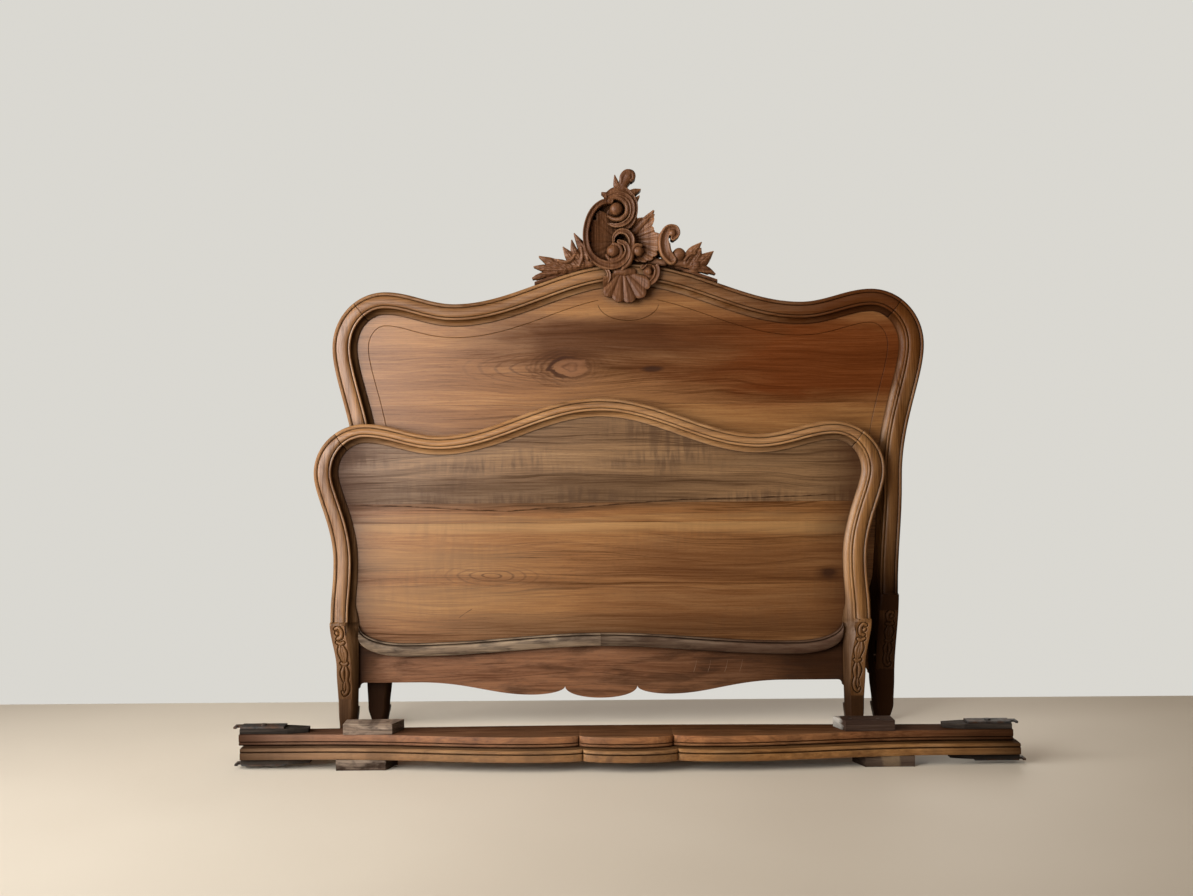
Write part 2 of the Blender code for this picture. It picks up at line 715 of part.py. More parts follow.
def footboard_apron(parent):
    drops = (APRON_CENTRE_DROP, APRON_CUSP_X, APRON_CUSP_DROP, APRON_LOBE_X, APRON_LOBE_DROP, APRON_FLAT_X)
    half = [(x, APRON_LOW + z) for x, z in scalloped_half(APRON_FLAT_X, drops)[:-1]]
    half += bracketed(FOOTBOARD, APRON_LOW, APRON_BRACKET)
    outline = mirrored(half, APRON_TOP)
    finish(plate("footboard_apron", outline, FIT, BOTTOM_RAIL_THICKNESS - FIT), WALNUT, parent)


def footboard_lower_moulding(parent):
    """The pale strip over the panel's foot, dipping at its ends and turning up to the posts."""
    end = (leg_inner(FOOTBOARD) - FIT, STRIP_END_TOP)
    dip = (MATTRESS_WIDTH / 2 - STRIP_DIP_IN, STRIP_DIP_TOP)
    middle = (0, STRIP_CENTRE_TOP)
    leave, arrive = level(middle, dip, STRIP_HANDLE), level(middle, dip, STRIP_DIP_HANDLE)
    half = bend(middle, dip, leave, arrive, STRIP_STEPS)
    leave, arrive = level(dip, end, STRIP_TURN_HANDLE), upright(dip, end, STRIP_HANDLE)
    half += bend(dip, end, leave, arrive, STRIP_END_STEPS)[1:]
    tops = [(-point.x, point.y) for point in reversed(half[1:])] + [tuple(point) for point in half]
    section = [(0.0, FIT)] + list(STRIP_SECTION) + [(1.0, FIT)]
    rings = [[(x, -rise, top - STRIP_HEIGHT * share) for share, rise in section] for x, top in tops]
    finish(ring_solid("footboard_lower_moulding", rings), PALE_WOOD, parent)


def stroke(name, points, depth):
    """One stroke of carving: a tube through points of (x, height above the floor, radius)."""
    curve = bpy.data.curves.new(name, "CURVE")
    curve.dimensions = "3D"
    curve.bevel_depth = 1
    curve.bevel_resolution = STROKE_SIDE_STEPS
    curve.resolution_u = STROKE_STEPS
    curve.use_fill_caps = True
    spline = curve.splines.new("BEZIER")
    spline.bezier_points.add(len(points) - 1)
    for knot, (x, z, radius) in zip(spline.bezier_points, points):
        knot.co = (x, depth, z)
        knot.radius = radius
        knot.handle_left_type = "AUTO"
        knot.handle_right_type = "AUTO"
    return as_mesh(link(name, curve))


def ball(name, point, depth):
    x, z, radius = point
    bm = bmesh.new()
    bmesh.ops.create_uvsphere(bm, u_segments=ROUND_STEPS, v_segments=BALL_STEPS, radius=radius)
    bmesh.ops.translate(bm, vec=(x, depth, z), verts=bm.verts)
    return mesh_object(name, bm)


def fused(name, pieces):
    """One carved body from overlapping pieces."""
    bm = bmesh.new()
    for piece in pieces:
        bm.from_mesh(piece.data)
        bpy.data.objects.remove(piece, do_unlink=True)
    obj = mesh_object(name, bm)
    remesh = obj.modifiers.new("fuse", "REMESH")
    remesh.mode = "VOXEL"
    remesh.voxel_size = CARVING_VOXEL
    remesh.use_smooth_shade = True
    decimate = obj.modifiers.new("thin", "DECIMATE")
    decimate.ratio = CARVING_DETAIL
    return obj


def crown_height(x):
    """Height from which the crest's strokes are measured."""
    return HEADBOARD_CROWN_HEIGHT


def rail_edge(x):
    """Height of the headboard rail's upper edge at this distance from the middle."""
    edge = [station.point for station in moulded_stations(HEADBOARD)[joint_index():]]
    for far, near in zip(edge, edge[1:]):
        if near.x <= abs(x) <= far.x:
            return near.lerp(far, (abs(x) - near.x) / (far.x - near.x)).y
    return edge[0].y


def carving(name, strokes, depth, parent, ground, slab=()):
    """A carved piece from strokes (and a slab behind them) whose heights start at the ground."""
    pieces = []
    for number, points in enumerate(strokes):
        placed = [(x * MM, ground(x * MM) + z * MM, radius * MM) for x, z, radius in points]
        pieces.append(stroke(f"{name}_stroke_{number}", placed, depth))
        pieces += [ball(f"{name}_end_{number}", placed[end], depth) for end in (0, -1)]
    if slab:
        outline = [(x * MM, ground(x * MM) + z * MM) for x, z in slab]
        pieces.append(plate(f"{name}_slab", outline, CREST_SLAB_BACK - CREST_SLAB, CREST_SLAB))
    return finish(fused(name, pieces), CARVED_WALNUT, parent)


def under_crown(name, margin):
    """The room that the top rail takes up below the crest, as a cutter."""
    edge = [station.point for station in moulded_stations(HEADBOARD)]
    right = [point for point in edge if point.x < MATTRESS_WIDTH / 2 - HEADBOARD_SHOULDER_IN]
    right = [Vector((point.x, point.y + margin)) for point in right]
    left = [Vector((-point.x, point.y)) for point in reversed(right[:-1])]
    low = HEADBOARD_VALLEY_HEIGHT - HEADBOARD_RAIL_WIDTH
    outline = right + left + [Vector((left[-1].x, low)), Vector((right[0].x, low))]
    return plate(name, outline, -2 * LEG_FRONT, 2 * (LEG_FRONT + LEG_BACK))


def rail_face(name):
    """The room behind the top rail's foremost face, as a cutter."""
    half = MATTRESS_WIDTH / 2
    low = (-half, -BAND_RELIEF - FIT, HEADBOARD_VALLEY_HEIGHT - HEADBOARD_RAIL_WIDTH)
    return box(name, low, (half, LEG_BACK, HEADBOARD_CROWN_HEIGHT))


def crest(top, parent):
    """The carved crest on the crown, its leaf sprays, the pendant on the rail's face, and the dowels."""
    depth = -CREST_DEPTH
    centre = carving("crest_cartouche", CREST_SCROLLS, depth, parent, crown_height, CREST_SLAB_OUTLINE)
    left = carving("crest_spray_left", CREST_LEFT_SPRAY, depth, parent, rail_edge)
    right = carving("crest_spray_right", CREST_RIGHT_SPRAY, depth, parent, rail_edge)
    for piece in (centre, left, right):
        cut(piece, under_crown(f"{piece.name}_seat", FIT))
    pendant = carving("crest_pendant", PENDANT_PETALS, -BAND_RELIEF - PENDANT_DEPTH, parent, crown_height)
    cut(pendant, rail_face("crest_pendant_seat"))
    seam = HEADBOARD_CROWN_HEIGHT
    for side, word in ((1, "right"), (-1, "left")):
        low = (side * DOWEL_X, 0, seam - DOWEL_LENGTH / 2)
        high = (side * DOWEL_X, 0, seam + DOWEL_LENGTH / 2)
        finish(cylinder(f"crest_dowel_{word}", low, high, DOWEL_RADIUS), RAW_WOOD, parent)
        hole_low = (side * DOWEL_X, 0, seam - DOWEL_LENGTH / 2 - FIT)
        hole_high = (side * DOWEL_X, 0, seam + DOWEL_LENGTH / 2 + FIT)
        for piece in (top, centre):
            hole = cylinder(f"{piece.name}_dowel_hole_{word}", hole_low, hole_high, DOWEL_RADIUS + FIT)
            cut(piece, hole)


def rail_lower_edge():
    drops = (RAIL_CENTRE_DROP, RAIL_CUSP_X, RAIL_CUSP_DROP, RAIL_LOBE_X, RAIL_LOBE_DROP, RAIL_FLAT_X)
    return [(x, z - RAIL_END_HEIGHT) for x, z in scalloped_half(RAIL_LENGTH / 2, drops)]


def rail_outline():
    """A side rail as it stands in use: scalloped below, gently arched above, ends upright."""
    half = rail_lower_edge()
    end, middle = (RAIL_LENGTH / 2, 0), (0, RAIL_ARCH)
    handle = level(end, middle, ARCH_HANDLE)
    arch = [tuple(point) for point in bend(end, middle, handle, handle, ARCH_STEPS)]
    left = [(-x, z) for x, z in reversed(half[1:])]
    left_arch = [(-x, z) for x, z in reversed(arch[:-1])]
    return left + half + arch + left_arch


def edge_height(x):
    """Height of a rail's lower edge at this distance from mid length."""
    points = rail_lower_edge()
    for (near, low), (far, high) in zip(points, points[1:]):
        if near <= x <= far:
            return low + (high - low) * (x - near) / (far - near)
    return points[-1][1]


def cleat(name, side, middle, parent):
    """A block that carries the bed base, with its inner end slanted."""
    inner, outer = middle - CLEAT_LENGTH / 2, middle + CLEAT_LENGTH / 2
    low = edge_height(outer) + CLEAT_SET
    high = low + CLEAT_DEPTH
    outline = [(inner, high), (inner + CLEAT_BEVEL, low), (outer, low), (outer, high)]
    obj = plate(name, [(side * x, z) for x, z in outline], RAIL_THICKNESS + FIT, CLEAT_THICKNESS)
    return finish(obj, RAW_WOOD, parent), (low + high) / 2


def end_block(name, side, parent):
    """The dark block on the inner face at a rail's end, tapering towards mid length."""
    end = RAIL_LENGTH / 2
    start = end - END_BLOCK_LENGTH
    low, high = -RAIL_END_HEIGHT / 2 - END_BLOCK_HEIGHT / 2, -RAIL_END_HEIGHT / 2 + END_BLOCK_HEIGHT / 2
    taper = END_BLOCK_HEIGHT / 4
    outline = [
        (start, low + taper), (start + END_BLOCK_TAPER, low), (end, low), (end, high),
        (start + END_BLOCK_TAPER, high), (start, high - taper),
    ]
    obj = plate(name, [(side * x, z) for x, z in outline], RAIL_THICKNESS + FIT, END_BLOCK_THICKNESS)
    return finish(obj, DARK_WOOD, parent)


def hook(name, side, parent):
    """The iron at a rail's end: a plate whose hooked tongue reaches into the leg and drops over its pin."""
    end, middle = RAIL_LENGTH / 2, -RAIL_END_HEIGHT / 2
    start, tip = end - HOOK_LENGTH, end + HOOK_REACH
    low, high = middle - HOOK_PLATE_HEIGHT / 2, middle + HOOK_PLATE_HEIGHT / 2
    arm_low = middle - PIN_DROP + PIN_RADIUS + FIT
    outline = [
        (start, low), (end, low), (end, arm_low), (tip - HOOK_TIP, arm_low),
        (tip - HOOK_TIP, arm_low - HOOK_TIP_DROP), (tip, arm_low - HOOK_TIP_DROP),
        (tip, arm_low + HOOK_ARM), (end, arm_low + HOOK_ARM), (end, high), (start, high),
    ]
    front = RAIL_THICKNESS + END_BLOCK_THICKNESS + 2 * FIT
    obj = plate(name, [(side * x, z) for x, z in outline], front, HOOK_THICKNESS)
    return finish(obj, IRON, parent)


def rail_bolt(name, side, parts, parent):
    """The bolt through hook and end block into the rail."""
    x, z = side * (RAIL_LENGTH / 2 - HOOK_LENGTH / 2), -RAIL_END_HEIGHT / 2
    seat = (x, RAIL_THICKNESS + END_BLOCK_THICKNESS + HOOK_THICKNESS + 3 * FIT, z)
    bolt = headed(name, seat, (0, -1, 0), BOLT_RADIUS, BOLT_LENGTH, BOLT_HEAD_RADIUS, BOLT_HEAD_HEIGHT)
    finish(bolt, IRON, parent)
    for part in parts:
        deep = (x, seat[1] - BOLT_LENGTH - FIT, z)
        cut(part, cylinder(f"{part.name}_bolt_hole_{name}", seat, deep, BOLT_RADIUS + FIT))


def cleat_screws(stem, side, middle, cleat_piece, height, board, parent):
    """Two screws sunk into a cleat and on into the rail."""
    face = RAIL_THICKNESS + FIT + CLEAT_THICKNESS
    seat_y = face - SCREW_HEAD_HEIGHT - FIT
    for number, offset in enumerate((-CLEAT_SCREW_SPACING / 2, CLEAT_SCREW_SPACING / 2), 1):
        x = side * (middle + offset)
        screw = headed(
            f"{stem}_{number}", (x, seat_y, height), (0, -1, 0), SCREW_RADIUS, CLEAT_SCREW_LENGTH,
            SCREW_HEAD_RADIUS, SCREW_HEAD_HEIGHT,
        )
        finish(screw, IRON, parent)
        top = (x, face + FIT, height)
        deep = (x, seat_y - CLEAT_SCREW_LENGTH - FIT, height)
        for part in (cleat_piece, board):
            cut(part, cylinder(f"{part.name}_hole_{stem}_{number}", top, deep, SCREW_RADIUS + FIT))
        floor = (x, seat_y - FIT, height)
        cut(cleat_piece, cylinder(f"{stem}_recess_{number}", top, floor, SCREW_HEAD_RADIUS + FIT))


def side_rail(name, left_cleat, right_cleat, parent):
    """A side rail with its cleats, end blocks, hooks, bolts and screws, as it stands in use."""
    board = finish(plate(f"{name}_board", rail_outline(), 0, RAIL_THICKNESS), WALNUT, parent)
    for side, word, middle in ((1, "right", right_cleat), (-1, "left", left_cleat)):
        block, height = cleat(f"{name}_cleat_{word}", side, middle, parent)
        cleat_screws(f"{name}_cleat_screw_{word}", side, middle, block, height, board, parent)
        end = end_block(f"{name}_end_block_{word}", side, parent)
        iron = hook(f"{name}_hook_{word}", side, parent)
        rail_bolt(f"{name}_bolt_{word}", side, (board, end, iron), parent)


def empty(name, location, rotation, parent):
    obj = link(name, None)
    obj.location = location
    obj.rotation_euler = rotation
    obj.parent = parent
    return obj


def lean():
    """Angle at which the footboard's shoulders meet the headboard's face."""
    reach = FOOTBOARD_STANDOFF + LEG_FRONT - BAND_RELIEF - FIT
    offset = LEG_BACK - FRAME_BACK
    height = FOOTBOARD_SHOULDER_HEIGHT
    return math.asin(reach / math.hypot(height, offset)) + math.atan2(offset, height)


def headboard(root):
    parent = empty("headboard", (HEADBOARD_X, 0, 0), (0, 0, 0), root)
    for side in (1, -1):
        post(HEADBOARD, side, -LEG_FRONT, 1, parent)
    top = top_rail(HEADBOARD, parent)
    headboard_bottom_rail(parent)
    planks(HEADBOARD, HEADBOARD_BOTTOM_RAIL_TOP, HEADBOARD_SEAMS, parent)
    crest(top, parent)


def footboard(root, foot_y):
    """The footboard, turned about the back edge of its feet until it rests on the headboard."""
    pivot = empty("footboard", (FOOTBOARD_X, foot_y, 0), (-lean(), 0, 0), root)
    parent = empty("footboard_upright", (0, -LEG_BACK, 0), (0, 0, 0), pivot)
    for side in (1, -1):
        post(FOOTBOARD, side, LEG_BACK, -1, parent)
    top_rail(FOOTBOARD, parent)
    footboard_apron(parent)
    footboard_lower_moulding(parent)
    planks(FOOTBOARD, APRON_TOP, FOOTBOARD_SEAMS, parent)


def rails(root, upper_y):
    """Both rails lie flat, show faces together, scalloped edges forward, the lower one on its cleats."""
    seam = CLEAT_THICKNESS + FIT + RAIL_THICKNESS
    quarter = math.radians(90)
    lower = empty("lower_rail", (LOWER_RAIL_X, upper_y - RAIL_SETBACK, seam), (-quarter, 0, 0), root)
    side_rail("lower_rail", LOWER_RAIL_CLEAT_LEFT, LOWER_RAIL_CLEAT_RIGHT, lower)
    upper = empty("upper_rail", (UPPER_RAIL_X, upper_y, seam + FIT), (quarter, 0, 2 * quarter), root)
    side_rail("upper_rail", UPPER_RAIL_CLEAT_LEFT, UPPER_RAIL_CLEAT_RIGHT, upper)


HEADBOARD = Board(
    "headboard", HEADBOARD_FOOT_OUT, HEADBOARD_FOOT_IN, HEADBOARD_KNEE_OUT, HEADBOARD_KNEE_IN,
    HEADBOARD_KNEE_HEIGHT, HEADBOARD_LEG_OUT, HEADBOARD_LEG_IN, HEADBOARD_LEG_HEIGHT, HEADBOARD_LEDGE_OUT,
    HEADBOARD_LEDGE_HEIGHT, HEADBOARD_WAIST_OUT, HEADBOARD_WAIST_HEIGHT, HEADBOARD_WIDEST_OUT,
    HEADBOARD_WIDEST_HEIGHT, HEADBOARD_SHOULDER_IN, HEADBOARD_SHOULDER_HEIGHT, HEADBOARD_VALLEY_IN,
    HEADBOARD_VALLEY_HEIGHT, HEADBOARD_CROWN_HEIGHT, HEADBOARD_POST_WIDTH, HEADBOARD_RAIL_WIDTH,
    HEADBOARD_FACET,
)
FOOTBOARD = Board(
    "footboard", FOOTBOARD_FOOT_OUT, FOOTBOARD_FOOT_IN, FOOTBOARD_KNEE_OUT, FOOTBOARD_KNEE_IN,
    FOOTBOARD_KNEE_HEIGHT, FOOTBOARD_LEG_OUT, FOOTBOARD_LEG_IN, FOOTBOARD_LEG_HEIGHT, FOOTBOARD_LEDGE_OUT,
    FOOTBOARD_LEDGE_HEIGHT, FOOTBOARD_WAIST_OUT, FOOTBOARD_WAIST_HEIGHT, FOOTBOARD_WIDEST_OUT,
    FOOTBOARD_WIDEST_HEIGHT, FOOTBOARD_SHOULDER_IN, FOOTBOARD_SHOULDER_HEIGHT, FOOTBOARD_VALLEY_IN,
    FOOTBOARD_VALLEY_HEIGHT, FOOTBOARD_CROWN_HEIGHT, FOOTBOARD_POST_WIDTH, FOOTBOARD_RAIL_WIDTH,
    FOOTBOARD_FACET,
)

clear_scene()
PARTS = new_collection("double_bed")
CUTTERS = new_collection("double_bed_cutters")

foot_y = -LEG_FRONT - FOOTBOARD_STANDOFF
upper_rail_y = foot_y - LEG_BACK - LEG_FRONT - RAIL_DISTANCE
front = upper_rail_y - RAIL_SETBACK - RAIL_END_HEIGHT - RAIL_CENTRE_DROP
bed = empty("bed", (0, -(front + LEG_BACK) / 2, 0), (0, 0, 0), None)
headboard(bed)
footboard(bed, foot_y)
rails(bed, upper_rail_y)
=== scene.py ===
"""Looks of the taken-apart walnut double bed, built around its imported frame. Metres, fronts facing -Y."""

import math
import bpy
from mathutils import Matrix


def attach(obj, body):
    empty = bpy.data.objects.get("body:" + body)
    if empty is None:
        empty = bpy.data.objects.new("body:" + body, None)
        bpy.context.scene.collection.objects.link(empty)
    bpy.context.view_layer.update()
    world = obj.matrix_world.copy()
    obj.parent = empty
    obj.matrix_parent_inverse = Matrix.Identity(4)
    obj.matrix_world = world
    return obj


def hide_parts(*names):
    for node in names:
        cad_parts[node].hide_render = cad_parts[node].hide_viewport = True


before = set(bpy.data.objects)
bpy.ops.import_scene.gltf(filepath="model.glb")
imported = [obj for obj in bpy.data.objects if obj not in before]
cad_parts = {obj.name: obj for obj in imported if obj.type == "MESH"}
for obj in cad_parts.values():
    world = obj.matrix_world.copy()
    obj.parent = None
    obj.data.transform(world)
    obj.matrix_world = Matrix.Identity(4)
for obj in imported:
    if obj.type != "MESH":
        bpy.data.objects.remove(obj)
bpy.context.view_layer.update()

from types import SimpleNamespace

import bmesh
import bpy
import numpy as np
from mathutils import Matrix, Vector
from mathutils.geometry import interpolate_bezier

MM = 0.001
HALF = 0.70  # half the mattress width
FIT = 0.0003
FRAME_BACK = 0.020
LEG_FRONT = 0.026
LEG_BACK = 0.022
CARVED_GROUND = 0.0205  # the leg's face behind its carving
FACET, FACET_WIDE = 0.018, 0.014  # depth and least width of the slant beside the leg's face
FACE_START = 0.005  # from the leg's outer edge to the first point on its face
LEG_ROUND, SHARP = 0.004, 0.0005  # radii of the leg's outer edge, plain and behind the carving
RUN_OUT, FLARE_RISE = 0.045, 0.060  # heights below and above the ledge over which leg and cove blend
STILE_COVE_LIGHT, RAIL_COVE_LIGHT = 0.92, 0.85  # how far the coves of the right stile and the rail are lightened, as painted light
RABBET = 0.010
LEDGE_SLOPE = 0.004
PANEL_THICKNESS = 0.018
CREASE, CARVED_CREASE = 35, 60  # angles that stay sharp (degrees)
ROUND_ARC = 0.5523  # share of a handle that makes a quarter round
WORDS = {1: "right", -1: "left"}


def at(*place):
    return Matrix.Translation(place)


def turned(angle, axis):
    return Matrix.Rotation(angle, 4, axis)


# Boards and rails: where they stand, and the boards' outline as (reach beyond the mattress edge, height), at
# the leg also with the reach inside that edge between them
LEAN = 0.0333  # of the footboard, in radians
HEADBOARD = SimpleNamespace(
    name="headboard", place=at(0.020, 0.299, 0), foot=(0.041, -0.002, 0.0), knee=(0.053, 0.006, 0.050),
    leg=(0.056, 0.013, 0.130), ledge=(0.071, 0.366), waist=(0.085, 0.700), widest=(0.151, 1.081),
    shoulder=(-0.001, 1.242), valley=(-0.202, 1.206), crown=1.320, post=0.070, rail=0.064, face=0.055,
    carved=(0.150, 0.168), drop_shift=-0.5, drop_dark=(0.62, 0.30, 0.90),
    slot_face=-LEG_FRONT, slot_inwards=1,
)
FOOTBOARD = SimpleNamespace(
    name="footboard", place=at(-0.065, 0.249, 0) @ turned(-LEAN, "X") @ at(0, -LEG_BACK, 0),
    foot=(0.037, 0.007, 0.0), knee=(0.040, 0.012, 0.060), leg=(0.046, 0.014, 0.170), ledge=(0.066, 0.302),
    waist=(0.057, 0.470), widest=(0.113, 0.722), shoulder=(-0.033, 0.862), valley=(-0.245, 0.826),
    crown=0.932, post=0.068, rail=0.054, face=0.042, carved=(0.086, 0.206), drop_shift=0.5,
    drop_dark=(0.34, 0.04, 0.80), slot_face=LEG_BACK, slot_inwards=-1,
)
LOWER_RAIL = SimpleNamespace(name="lower_rail", place=at(0.005, -0.189, 0.0543) @ turned(-math.pi / 2, "X"))
UPPER_RAIL = SimpleNamespace(
    name="upper_rail", place=at(-0.005, -0.159, 0.0546) @ turned(math.pi, "Z") @ turned(math.pi / 2, "X"))
SPAN_STEPS = (8, 24, 30, 18, 26)
JOINT = sum(SPAN_STEPS[:2]) + 18  # station on the shoulder where post and top rail meet
JOINT_SLOPE, JOINT_SINK = 0.0014, 0.0011  # the small V along that joint
SLOT_X, SLOT_LOW, SLOT_HIGH, SLOT_WIDTH, SLOT_DEPTH = 0.7049, 0.168, 0.232, 0.009, 0.020
SLOT_LEAD = 0.010  # how far its cutter stands out of the leg

# Moulding across a frame member, in millimetres: (distance from the outer edge, relief, grime, wear),
# then the same with shares of the band, then with distances from the inner edge. The grime in the quirks and
# cove is partly painted shade.
OUTER_EDGE = (
    (0, -20, 0.3, 0), (0, 7, 0.1, 0.1), (0.6, 12, 0, 0.3), (2.5, 16.3, 0, 0.5), (5.5, 18.7, 0, 0.8),
    (8.5, 18.5, 0, 0.5), (10.6, 17.1, 0.2, 0.1), (11.4, 14.8, 1, 0), (12.1, 14.8, 1, 0),
    (12.8, 17.8, 0.3, 0.2), (15, 19.7, 0, 0.4),
)
BAND = ((0.20, 21.4, 0, 0.2), (0.45, 22.8, 0, 0.2), (0.60, 23, 0, 0.2), (0.80, 22.7, 0, 0.2))
INNER_EDGE = (
    (26.5, 21.7, 0, 0.4), (25.3, 20.6, 0.2, 0.2), (24.6, 18, 1, 0), (23.9, 18, 1, 0),
    (23.2, 20, 0.3, 0.2), (21.2, 21.3, 0, 0.7), (19, 21.3, 0, 0.7), (17.2, 20.3, 0.1, 0.2),
    (16.3, 18.6, 0.8, 0), (15.8, 16.6, 1, 0), (13.8, 11.8, 0.95, 0), (10.8, 7.7, 0.9, 0),
    (7.2, 4.9, 0.8, 0), (3, 3.4, 0.85, 0), (0, 2.6, 1, 0), (0, 0, 1, 0),
)
COVE = 15.8  # the cove's reach from the inner edge (mm)
COVE_POINTS = range(22, 31)  # a section's points from the inner bead to the end of its cove

# Side rail: its board's outline, and in millimetres the moulding along its lower edge (Y, rise, darkening,
# wear)
RAIL_HALF, RAIL_END_HEIGHT, RAIL_ARCH, RAIL_THICKNESS = 0.97, 0.072, 0.020, 0.028
RAIL_FLAT = 0.800  # where the scalloped edge turns straight
RAIL_ROUND = 0.0014
RAIL_EDGE = (
    (0, 15, 0.6, 0), (0, 13.5, 0.8, 0), (1.2, 12.8, 1, 0), (1.2, 11.8, 0.8, 0), (0.2, 10.5, 0.2, 0.3),
    (0.2, 7, 0, 0.4), (1.2, 3.4, 0, 0.7), (3.4, 1.2, 0, 0.9), (6.2, 1, 0, 0.9), (8.4, 2.6, 0.1, 0.3),
    (9.4, 4.6, 1, 0), (10.4, 4.6, 1, 0), (10.8, 1, 0.3, 0.4), (12, 0, 0, 0.3), (19, 0, 0, 0.2),
    (26.2, 0, 0.1, 0.3), (27.5, 0.6, 0.1, 0.6), (28, 2.2, 0.6, 0.4),
)


# Meshes and outlines

def new_mesh(name, verts, faces):
    """A mesh whose faces all look outwards."""
    mesh = bpy.data.meshes.new(name)
    mesh.from_pydata([tuple(v) for v in verts], [], [tuple(f) for f in faces])
    bm = bmesh.new()
    bm.from_mesh(mesh)
    bmesh.ops.recalc_face_normals(bm, faces=bm.faces)
    bm.to_mesh(mesh)
    bm.free()
    return mesh


def new_object(name, data):
    obj = bpy.data.objects.new(name, data)
    bpy.context.scene.collection.objects.link(obj)
    return obj


def set_smooth(mesh, degrees=CREASE):
    mesh.shade_smooth()
    mesh.set_sharp_from_angle(angle=math.radians(degrees))


def new_piece(name, shape, board, nodes, look, crease=CREASE):
    """A piece in its board's own frame, riding on its body. shape is points, faces and, where given, grime
    with painted shade and wear with painted light by point; look is what its wood takes."""
    verts, faces, *shades = shape
    mesh = new_mesh(name, verts, faces)
    for label, values in zip(("grime", "wear"), shades or np.zeros((2, len(verts)))):
        layer = mesh.attributes.new(label, "FLOAT", "POINT")
        layer.data.foreach_set("value", np.asarray(values, np.float32))
    set_smooth(mesh, crease)
    mesh.materials.append(wood(name, **look))
    obj = new_object(name, mesh)
    obj.matrix_world = board.place
    body = board.name
    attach(obj, body)
    if nodes:
        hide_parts(*nodes)
    return obj


def loft(rings):
    """Points, faces, grime (with painted shade) and wear (with painted light) through rings of (x, y, z,
    grime, wear), capped at both ends.
    """
    count = len(rings[0])
    data = np.array(rings, float).reshape(-1, 5)
    last = len(data) - count
    faces = [(a + i, a + (i + 1) % count, a + count + (i + 1) % count, a + count + i)
             for a in range(0, last, count) for i in range(count)]
    faces += [tuple(range(count)), tuple(range(last, last + count))]
    return data[:, :3], faces, data[:, 3], data[:, 4]


def cut_out(obj, shape):
    """Cuts a closed shape, given in the piece's own frame, out of the piece."""
    cutter = new_object("cutter", new_mesh("cutter", *shape))
    cutter.matrix_world = obj.matrix_world
    boolean = obj.modifiers.new("cut", "BOOLEAN")
    boolean.operation = "DIFFERENCE"
    boolean.solver = "EXACT"
    boolean.object = cutter
    bpy.context.view_layer.update()
    evaluated = obj.evaluated_get(bpy.context.evaluated_depsgraph_get())
    old, mesh = obj.data, bpy.data.meshes.new_from_object(evaluated)
    obj.modifiers.clear()
    obj.data = mesh
    bpy.data.meshes.remove(old)
    bpy.data.objects.remove(cutter, do_unlink=True)


def box_shape(low, high):
    verts = [(x, y, z) for x in (low[0], high[0]) for y in (low[1], high[1]) for z in (low[2], high[2])]
    return verts, ((0, 1, 3, 2), (4, 6, 7, 5), (0, 4, 5, 1), (2, 3, 7, 6), (0, 2, 6, 4), (1, 5, 7, 3))


def plate(outline, front, thickness):
    """Points and faces of a flat piece standing in the XZ plane."""
    count = len(outline)
    verts = [(x, y, z) for y in (front, front + thickness) for x, z in outline]
    faces = [tuple(range(count)), tuple(range(2 * count - 1, count - 1, -1))]
    faces += [(i, (i + 1) % count, count + (i + 1) % count, count + i) for i in range(count)]
    return verts, faces


def bevelled(obj, width, segments=2):
    bevel = obj.modifiers.new("edges", "BEVEL")
    bevel.width = width
    bevel.segments = segments
    bevel.limit_method = "ANGLE"
    bevel.angle_limit = math.radians(50)


def ease(share):
    return share * share * (3 - 2 * share)


def soft_step(share):
    return ease(min(max(share, 0), 1))


def bend(start, end, leave, arrive, steps):
    """A curve in the XZ plane. leave and arrive are its handles, as shares of the way in x and z."""
    first, second = (Vector([(b - a) * part for a, b, part in zip(start, end, shares)])
                     for shares in (leave, arrive))
    start, end = Vector(start), Vector(end)
    return interpolate_bezier(start, start + first, end - second, end, steps + 1)


def left_normals(points):
    """At each point of a path, the unit vector to its left."""
    ways = [after - before for before, after in zip(points[:1] + points, points[1:] + points[-1:])]
    return [Vector((-way.y, way.x)).normalized() for way in ways]


def leg_at(board, height):
    """(outer x, width) of the right leg at a height."""
    stops = (board.foot, board.knee, board.leg, (board.ledge[0], board.leg[1], board.ledge[1]))
    for (out, inside, low), (next_out, next_in, high) in zip(stops, stops[1:]):
        if height <= high:
            share = ease((height - low) / (high - low))
            reach = out + (next_out - out) * share
            return HALF + reach, reach + inside + (next_in - inside) * share
    return HALF + board.ledge[0], board.ledge[0] + board.leg[1]


def leg_face(board, width):
    """Width of the leg's face; the rest of its front is the slanting facet."""
    return min(width - FACET_WIDE, board.face)


def leg_heights(board):
    low, tall = board.carved
    knee, top = board.knee[2], board.ledge[1] - LEDGE_SLOPE
    heights = [*np.linspace(0, knee, 8), *np.linspace(knee + SHARP, top, 40)]
    return sorted(heights + [low, low + SHARP, low + tall - SHARP, low + tall])


def moulded_stations(board):
    """(point, inward direction, width) along the right half of the moulded frame, ledge to crown."""
    outline = (board.ledge, board.waist, board.widest, board.shoulder, board.valley)
    corners = [(HALF + reach, height) for reach, height in outline] + [(0, board.crown)]
    handles = (((0, 0.4), (0, 0.4)), ((0, 0.42), (0, 0.25)), ((0, ROUND_ARC), (ROUND_ARC, 0)),
               ((0.36, 0), (0.36, 0)), ((0.34, 0), (0.38, 0)))
    ends = (board.post, board.post, board.post, board.rail, board.rail, board.rail)
    points, widths = [Vector(corners[0])], [board.post]
    for i, steps in enumerate(SPAN_STEPS):
        points += bend(corners[i], corners[i + 1], *handles[i], steps)[1:]
        widths += [ends[i] + (ends[i + 1] - ends[i]) * ease(step / steps) for step in range(1, steps + 1)]
    inwards = left_normals(points)
    inwards[0], inwards[-1] = Vector((-1, 0)), Vector((0, -1))
    return list(zip(points, inwards, widths))


